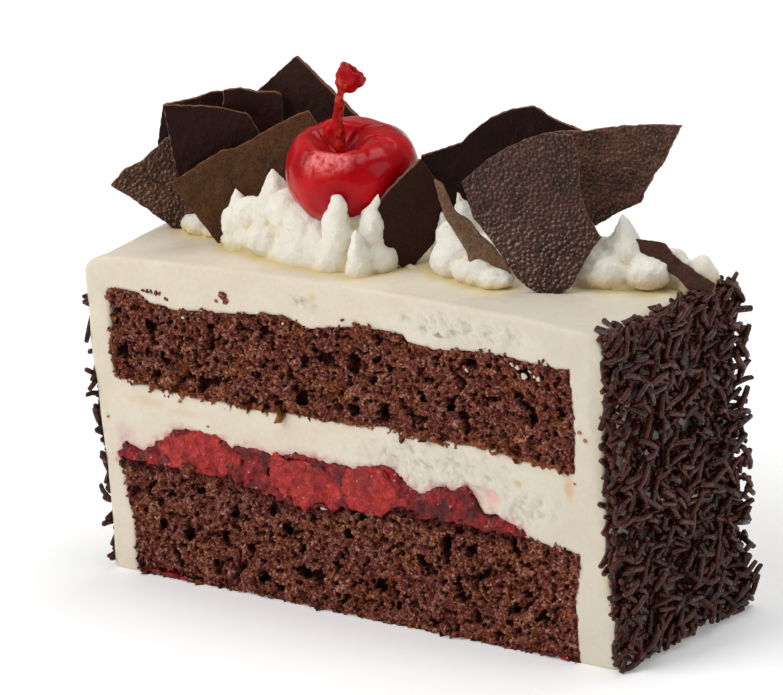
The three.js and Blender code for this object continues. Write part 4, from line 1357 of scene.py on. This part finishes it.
stem_rings = []
for share, middle in enumerate(smoothed(STEM_ROUTE, STEM_STEPS)):
    flare = 1 + STEM_FLARE * max(0, 1 - share / STEM_STEPS) ** 2
    stem_rings.append((Vector(middle) * MM, STEM_RADIUS * flare * MM))
stem = drawn("stalk", stem_rings, STEM_SIDES)
stem.data.transform(on_slice(Matrix.Identity(4)))
knob_line = [(r * MM, h * MM) for r, h in smoothed(KNOB_PROFILE, PROFILE_STEPS)]
knob = spun("stalk_end", knob_line, KNOB_SIDES)
knob.data.transform(on_slice(
    Matrix.Translation(KNOB_CENTRE) @ Matrix.Rotation(KNOB_TURN, 4, "Y")
))
stem = joined([stem, knob], "stalk")
remeshed(stem, STEM_VOXEL)
relief(stem, "CLOUDS", 1.8 * MM, 0.9 * MM, noise_depth=1)
stored(stem, "hollow", hollows(stem, 16, 0.06 * MM, 0.4 * MM))
fitted(stem, "stem", stem_finish(), "cherry_stem")


# ---------------------------------------------------------------- chocolate shards
# Dark chocolate spread thin, set and broken into shards by hand. Fresh breaks are
# paler and rough, and moisture beads on the faces that came from the cold.

SHARD_THICKNESS = 1.1 * MM
SHARD_VOXEL = 0.27 * MM
# How dark the pits of a face are beside its tone, where it is damp and where it is dry. On a
# damp face the same darker colour is the painted shade on each drop's far side.
DAMP_DEPTH = 0.42
DRY_DEPTH = 0.7
DROP = 0.66 * MM
# From a drop's middle towards its lit side.
LIT_SIDE = (-0.12 * MM, -0.08 * MM, 0.16 * MM)
# Below this height the painted highlights on the drops of a damp face are strong, and above it
# they are faint.
STRONG_HIGHLIGHTS_BELOW = (78 * MM, 68 * MM)
# Sizes are in millimetres and turns in degrees. `foot` is where the shard stands on the
# slice. Each outline is (along, up) in its own plane. `curl` is the radius that it is bent
# to about an upright line at `curl_at`. `tone` is its face: partly the chocolate's own
# colour and partly painted light and shade, lighter on lit shards and darker on shaded
# ones. `beads` is its moisture. A shard without one of these numbers has 0 for it.
SHARDS = {
    "shard_left_low": {
        "foot": (-51, 0.4, 61.2), "heading": 39, "lean": 3, "curl": -60, "curl_at": -4,
        "outline": ((-13, 9), (-10, 12), (-6.5, 13.5), (-5, 15), (-3.5, 16), (-2, 17.5),
                    (1.5, 16.5), (4.5, 8), (3, 1), (0.5, -0.5), (-1, -0.5), (-4.5, 2.5),
                    (-7.5, 5), (-10, 7)),
        "tone": (114, 75, 58), "beads": 1.0,
    },
    "shard_left_square": {
        "foot": (-42.5, 0.3, 61.5), "heading": 36, "lean": 4, "curl": 90,
        "outline": ((-8.5, 24.5), (-3, 24), (1.5, 23.5), (7, 22), (8.5, 19), (9.5, 15),
                    (4.5, 8), (-3, 3.5), (-5.5, 7), (-7, 12)),
        "tone": (46, 16, 9),
    },
    "shard_left_back": {
        "foot": (-52.5, 9.4, 61.5), "heading": 34, "curl": -70,
        "outline": ((-7, 21.5), (-1, 22.5), (2, 23.5), (7, 23.5), (6, 12), (0.5, 2.5),
                    (-3.5, 2.5), (-8.5, 14), (-8, 16.5)),
        "tone": (46, 18, 11),
    },
    "shard_left_curl": {
        "foot": (-42.3, 7, 61.1), "heading": 32, "curl": 15, "curl_at": 6,
        "outline": ((-1.5, 26.5), (1.5, 26.5), (4.5, 25.5), (7.5, 25.5), (9, 25), (9, 19.5),
                    (8, 12.5), (2, 3.5), (-0.5, 5), (-2, 15)),
        "tone": (56, 24, 14),
    },
    "shard_left_peak": {
        "foot": (-36, 14.4, 61.5), "heading": 12, "lean": -2, "curl": 150, "curl_at": 4,
        "outline": ((3.5, 31.5), (-5, 24.5), (-10, 20), (-8, 9), (-3, 2.5), (3.5, 2.5),
                    (17.5, 12.5), (19.5, 17), (15.5, 20.5), (11, 24.5)),
        "tone": (54, 26, 17),
    },
    "shard_left_front": {
        "foot": (-39.1, -3.9, 61.6), "heading": 33, "lean": 6, "curl": 110, "curl_at": 6,
        "outline": ((-8, 11), (-2, 14.5), (1.5, 16.5), (4.5, 17), (7.5, 18.5), (12, 21),
                    (18, 23.5), (19.5, 21), (20, 18), (15.5, 9.5), (3.5, 3), (2, 1.5),
                    (0, -0.5)),
        "tone": (96, 60, 32),
    },
    "shard_right_dark": {
        "foot": (5.2, -4.2, 62.6), "heading": 56, "curl": -80,
        "outline": ((-7, 6.5), (-4, 13), (-0.5, 16), (3.5, 19), (6.5, 14.5), (7.5, 3.5),
                    (4.5, 3), (1, -0.5), (-1, -0.5)),
        "tone": (54, 24, 12),
    },
    "shard_right_curved": {
        "foot": (13, 10.5, 62), "heading": 28, "curl": 38, "curl_at": 9,
        "outline": ((-11, 19.5), (-4, 21), (-2.5, 22.5), (1, 25), (5, 26.5), (9, 27),
                    (12.5, 24.5), (17.5, 22.5), (16.5, 9.5), (8.5, 2.5), (-3.5, 3),
                    (-11, 10.5)),
        "tone": (46, 20, 14),
    },
    "shard_right_front": {
        "foot": (36.3, -4.6, 60.9), "heading": 28, "lean": 10, "curl": -60, "curl_at": -2,
        "outline": ((-15, 20), (-10, 24), (-6.5, 26), (-3, 27.5), (0.5, 28.5), (5, 28),
                    (6, 23.5), (6, 18.5), (7, 14.5), (9.5, 10), (7.5, 7.5), (4, 1.5),
                    (1.5, 0), (0, 0), (-3.5, 1.5), (-6, 4), (-9.5, 9.5), (-13, 14),
                    (-14, 17.5)),
        "tone": (92, 62, 52), "beads": 1.0,
    },
    "shard_right_narrow": {
        "foot": (25.5, -4.6, 63.2), "heading": 42, "lean": 14, "curl": 40, "curl_at": -3,
        "outline": ((-10, 18), (-9.5, 15.5), (-8.5, 11), (-6, 6.5), (-5, 4), (-4.5, 1.5),
                    (-3, 0), (-1, -0.5), (1, -1), (2.5, 0.5), (1.5, 2.5), (0, 5),
                    (-2.5, 7.5), (-4, 10), (-6.5, 12), (-8.5, 17)),
        "tone": (146, 112, 86),
    },
    "shard_right_back": {
        "foot": (45, 12, 61.5), "heading": 18, "lean": 4, "curl": 60, "curl_at": -2,
        "outline": ((-17.5, 25), (-14.5, 25.5), (-10, 25.5), (-3.5, 26.5), (3.5, 27),
                    (8, 27), (6, 23.5), (4.5, 20.5), (2.5, 18), (0.5, 14.5), (0, 13),
                    (-4.5, 11), (-8.5, 8.5), (-13, 15)),
        "tone": (106, 70, 56), "beads": 0.7,
    },
    "shard_right_strip": {
        "foot": (61, 11, 61.6), "heading": 20, "lean": 24,
        "outline": ((-16, 8), (-14, 8), (-9.5, 7.5), (-8, 5.5), (-3.5, 2.5), (0, 0.5),
                    (-0.5, -1), (-5, -0.5), (-7, 1.5), (-11, 3.5), (-15.5, 6)),
        "tone": (76, 44, 32),
    },
}


def shard_finish(name, tone, beads):
    finish = Finish(name, Specular_IOR_Level=0.15)
    face = colour(*tone)
    depth = DAMP_DEPTH if beads else DRY_DEPTH
    darker = colour(*(depth * part for part in tone))
    bloom = finish.cloud(5 * MM, 3, 0.6)
    pits = finish.cloud(0.42 * MM, 2, 0.6)
    ridges = finish.cloud(1.1 * MM, 2, 0.6)
    grain = finish.step(bloom * 0.4 + pits * 0.6, 0.36, 0.62)
    base = finish.mixed(grain, darker, face)
    broken = finish.stored("rim") * finish.step(ridges, 0.2, 0.5)
    base = finish.tinted(base, broken, 124, 80, 60)
    if not beads:
        return finish.feed(
            Base_Color=base,
            Roughness=0.4 + pits * 0.2,
            Normal=finish.bump(pits * 0.8, 0.3 * MM),
        )
    height = finish.axis(2) + finish.cloud(6 * MM, 2) * (12 * MM) - 6 * MM
    low = finish.step(height, *STRONG_HIGHLIGHTS_BELOW)
    wobble_inputs = {"Vector": finish.place, "Scale": 1 / DROP, "Detail": 1}
    wobble = finish.node("ShaderNodeTexNoise", None, wobble_inputs, "Color")
    uneven = finish.node("ShaderNodeVectorMath", {"operation": "MULTIPLY_ADD"}, {
        0: wobble, 1: (0.6 * DROP, 0.6 * DROP, 0.6 * DROP), 2: finish.place,
    })
    lampwards = finish.node("ShaderNodeVectorMath", {"operation": "ADD"}, {0: uneven, 1: LIT_SIDE})
    drops = finish.cells(DROP, place=uneven)
    slope = finish.cells(DROP, place=lampwards) - drops
    # Painted highlight on each drop's side towards the lamp, and painted shade on its far side,
    # from the drops and a copy of them shifted towards the lamp.
    lit = finish.step(slope, 0.1, 0.3)
    base = finish.mixed(finish.step(slope, 0, -0.25) * 0.6 * beads, base, darker)
    base = finish.tinted(base, lit * (0.25 + low * 0.35) * beads, 172, 140, 126)
    return finish.feed(
        Base_Color=base,
        Roughness=0.42 - lit * 0.2,
        Normal=finish.bump(pits * 0.3 - drops, 0.3 * MM),
    )


def shard(name, foot, heading, outline, tone, lean=0, curl=0, curl_at=0, beads=0):
    """One shard, cut flat to its outline, bent, and stood up on its foot."""
    bpy.ops.mesh.primitive_circle_add(vertices=len(outline), radius=MM, fill_type="NGON")
    made = bpy.context.object
    made.name = name.replace("shard", "chocolate")
    for vertex, (along, up) in zip(made.data.vertices, outline):
        vertex.co = (along * MM, up * MM, -SHARD_THICKNESS / 2)
    with edit_mode():
        bpy.ops.mesh.extrude_region_move(TRANSFORM_OT_translate={"value": (0, 0, SHARD_THICKNESS)})
        bpy.ops.mesh.select_all(action="SELECT")
        bpy.ops.mesh.normals_make_consistent(inside=False)
    remeshed(made, SHARD_VOXEL)
    relief(made, "CLOUDS", 1.4 * MM, 0.4 * MM, noise_depth=2)
    stored(made, "rim", eased(np.abs(facing(made)[:, 2]), 0.85, 0.45))
    flat = points_of(made)
    if curl:
        flat[:, 2] += (flat[:, 0] - curl_at * MM) ** 2 / (2 * curl * MM)
    moved(made, flat)
    made.data.transform(
        Matrix.Translation(Vector(foot) * MM)
        @ Matrix.Rotation(math.radians(heading), 4, "Z")
        @ Matrix.Rotation(math.radians(90 - lean), 4, "X")
    )
    fitted(made, "chocolate", shard_finish(made.name, tone, beads), name)


for name, sizes in SHARDS.items():
    shard(name, **sizes)


# ---------------------------------------------------------------- studio
# A white table under a large soft lamp at the upper left, with a white room round it.

CAMERA_AZIMUTH = math.radians(39.01)
CAMERA_ELEVATION = math.radians(16.78)
CAMERA_ROLL = math.radians(-3.69)
CAMERA_DISTANCE = 0.9
CAMERA_LENS = 229.0
AIM = Vector((0, 0, 0.03))
AIM_RIGHT = -2.42 * MM
AIM_UP = 14.82 * MM
TABLE_SIZE = 8
TABLE_GLOW = 0.16
ROOM_LIGHT = 0.3
FARTHEST_SEEN = 20
# Each lamp is (watts, size, place), in metres, and shines on the slice.
LAMPS = {
    "key_lamp": (140, 3.4, (-2.4, -3.0, 3.4)),
    "front_lamp": (13, 0.55, (-0.9, -3.3, 3.2)),
    "top_lamp": (60, 2.4, (0.2, 1.4, 4.0)),
    "side_lamp": (28, 2.2, (3.6, 0.4, 2.6)),
}

bpy.ops.mesh.primitive_plane_add(size=TABLE_SIZE)
table = bpy.context.object
table.name = "table"
white = Finish(
    "white_table", Roughness=0.7, Emission_Color=(1, 1, 1, 1), Emission_Strength=TABLE_GLOW
)
cloth = white.mixed(white.cloud(0.3, 1), colour(250, 250, 250), colour(252, 252, 252))
table.data.materials.append(white.feed(Base_Color=cloth))
table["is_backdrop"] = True

for name, (power, size, place) in LAMPS.items():
    bpy.ops.object.light_add(type="AREA", location=place)
    lamp = bpy.context.object
    lamp.name = name
    lamp.data.energy = power
    lamp.data.size = size
    lamp.rotation_euler = (AIM - Vector(place)).to_track_quat("-Z", "Y").to_euler()

room = bpy.data.worlds.new("white_room")
room.use_nodes = True
room_light = room.node_tree.nodes["Background"].inputs
room_light["Color"].default_value = (1, 1, 1, 1)
room_light["Strength"].default_value = ROOM_LIGHT
bpy.context.scene.world = room
bpy.context.scene.view_settings.view_transform = "Standard"

back = Vector((
    math.sin(CAMERA_AZIMUTH) * math.cos(CAMERA_ELEVATION),
    -math.cos(CAMERA_AZIMUTH) * math.cos(CAMERA_ELEVATION),
    math.sin(CAMERA_ELEVATION),
))
level_right = Vector((0, 0, 1)).cross(back).normalized()
level_up = back.cross(level_right)
rolled_right = level_right * math.cos(CAMERA_ROLL) + level_up * math.sin(CAMERA_ROLL)
rolled_up = level_up * math.cos(CAMERA_ROLL) - level_right * math.sin(CAMERA_ROLL)
target = AIM + level_right * AIM_RIGHT + level_up * AIM_UP
bpy.ops.object.camera_add(location=target + back * CAMERA_DISTANCE)
camera = bpy.context.object
camera.rotation_euler = Matrix((rolled_right, rolled_up, back)).transposed().to_euler()
camera.data.lens = CAMERA_LENS
camera.data.clip_end = FARTHEST_SEEN
bpy.context.scene.camera = camera

low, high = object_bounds()
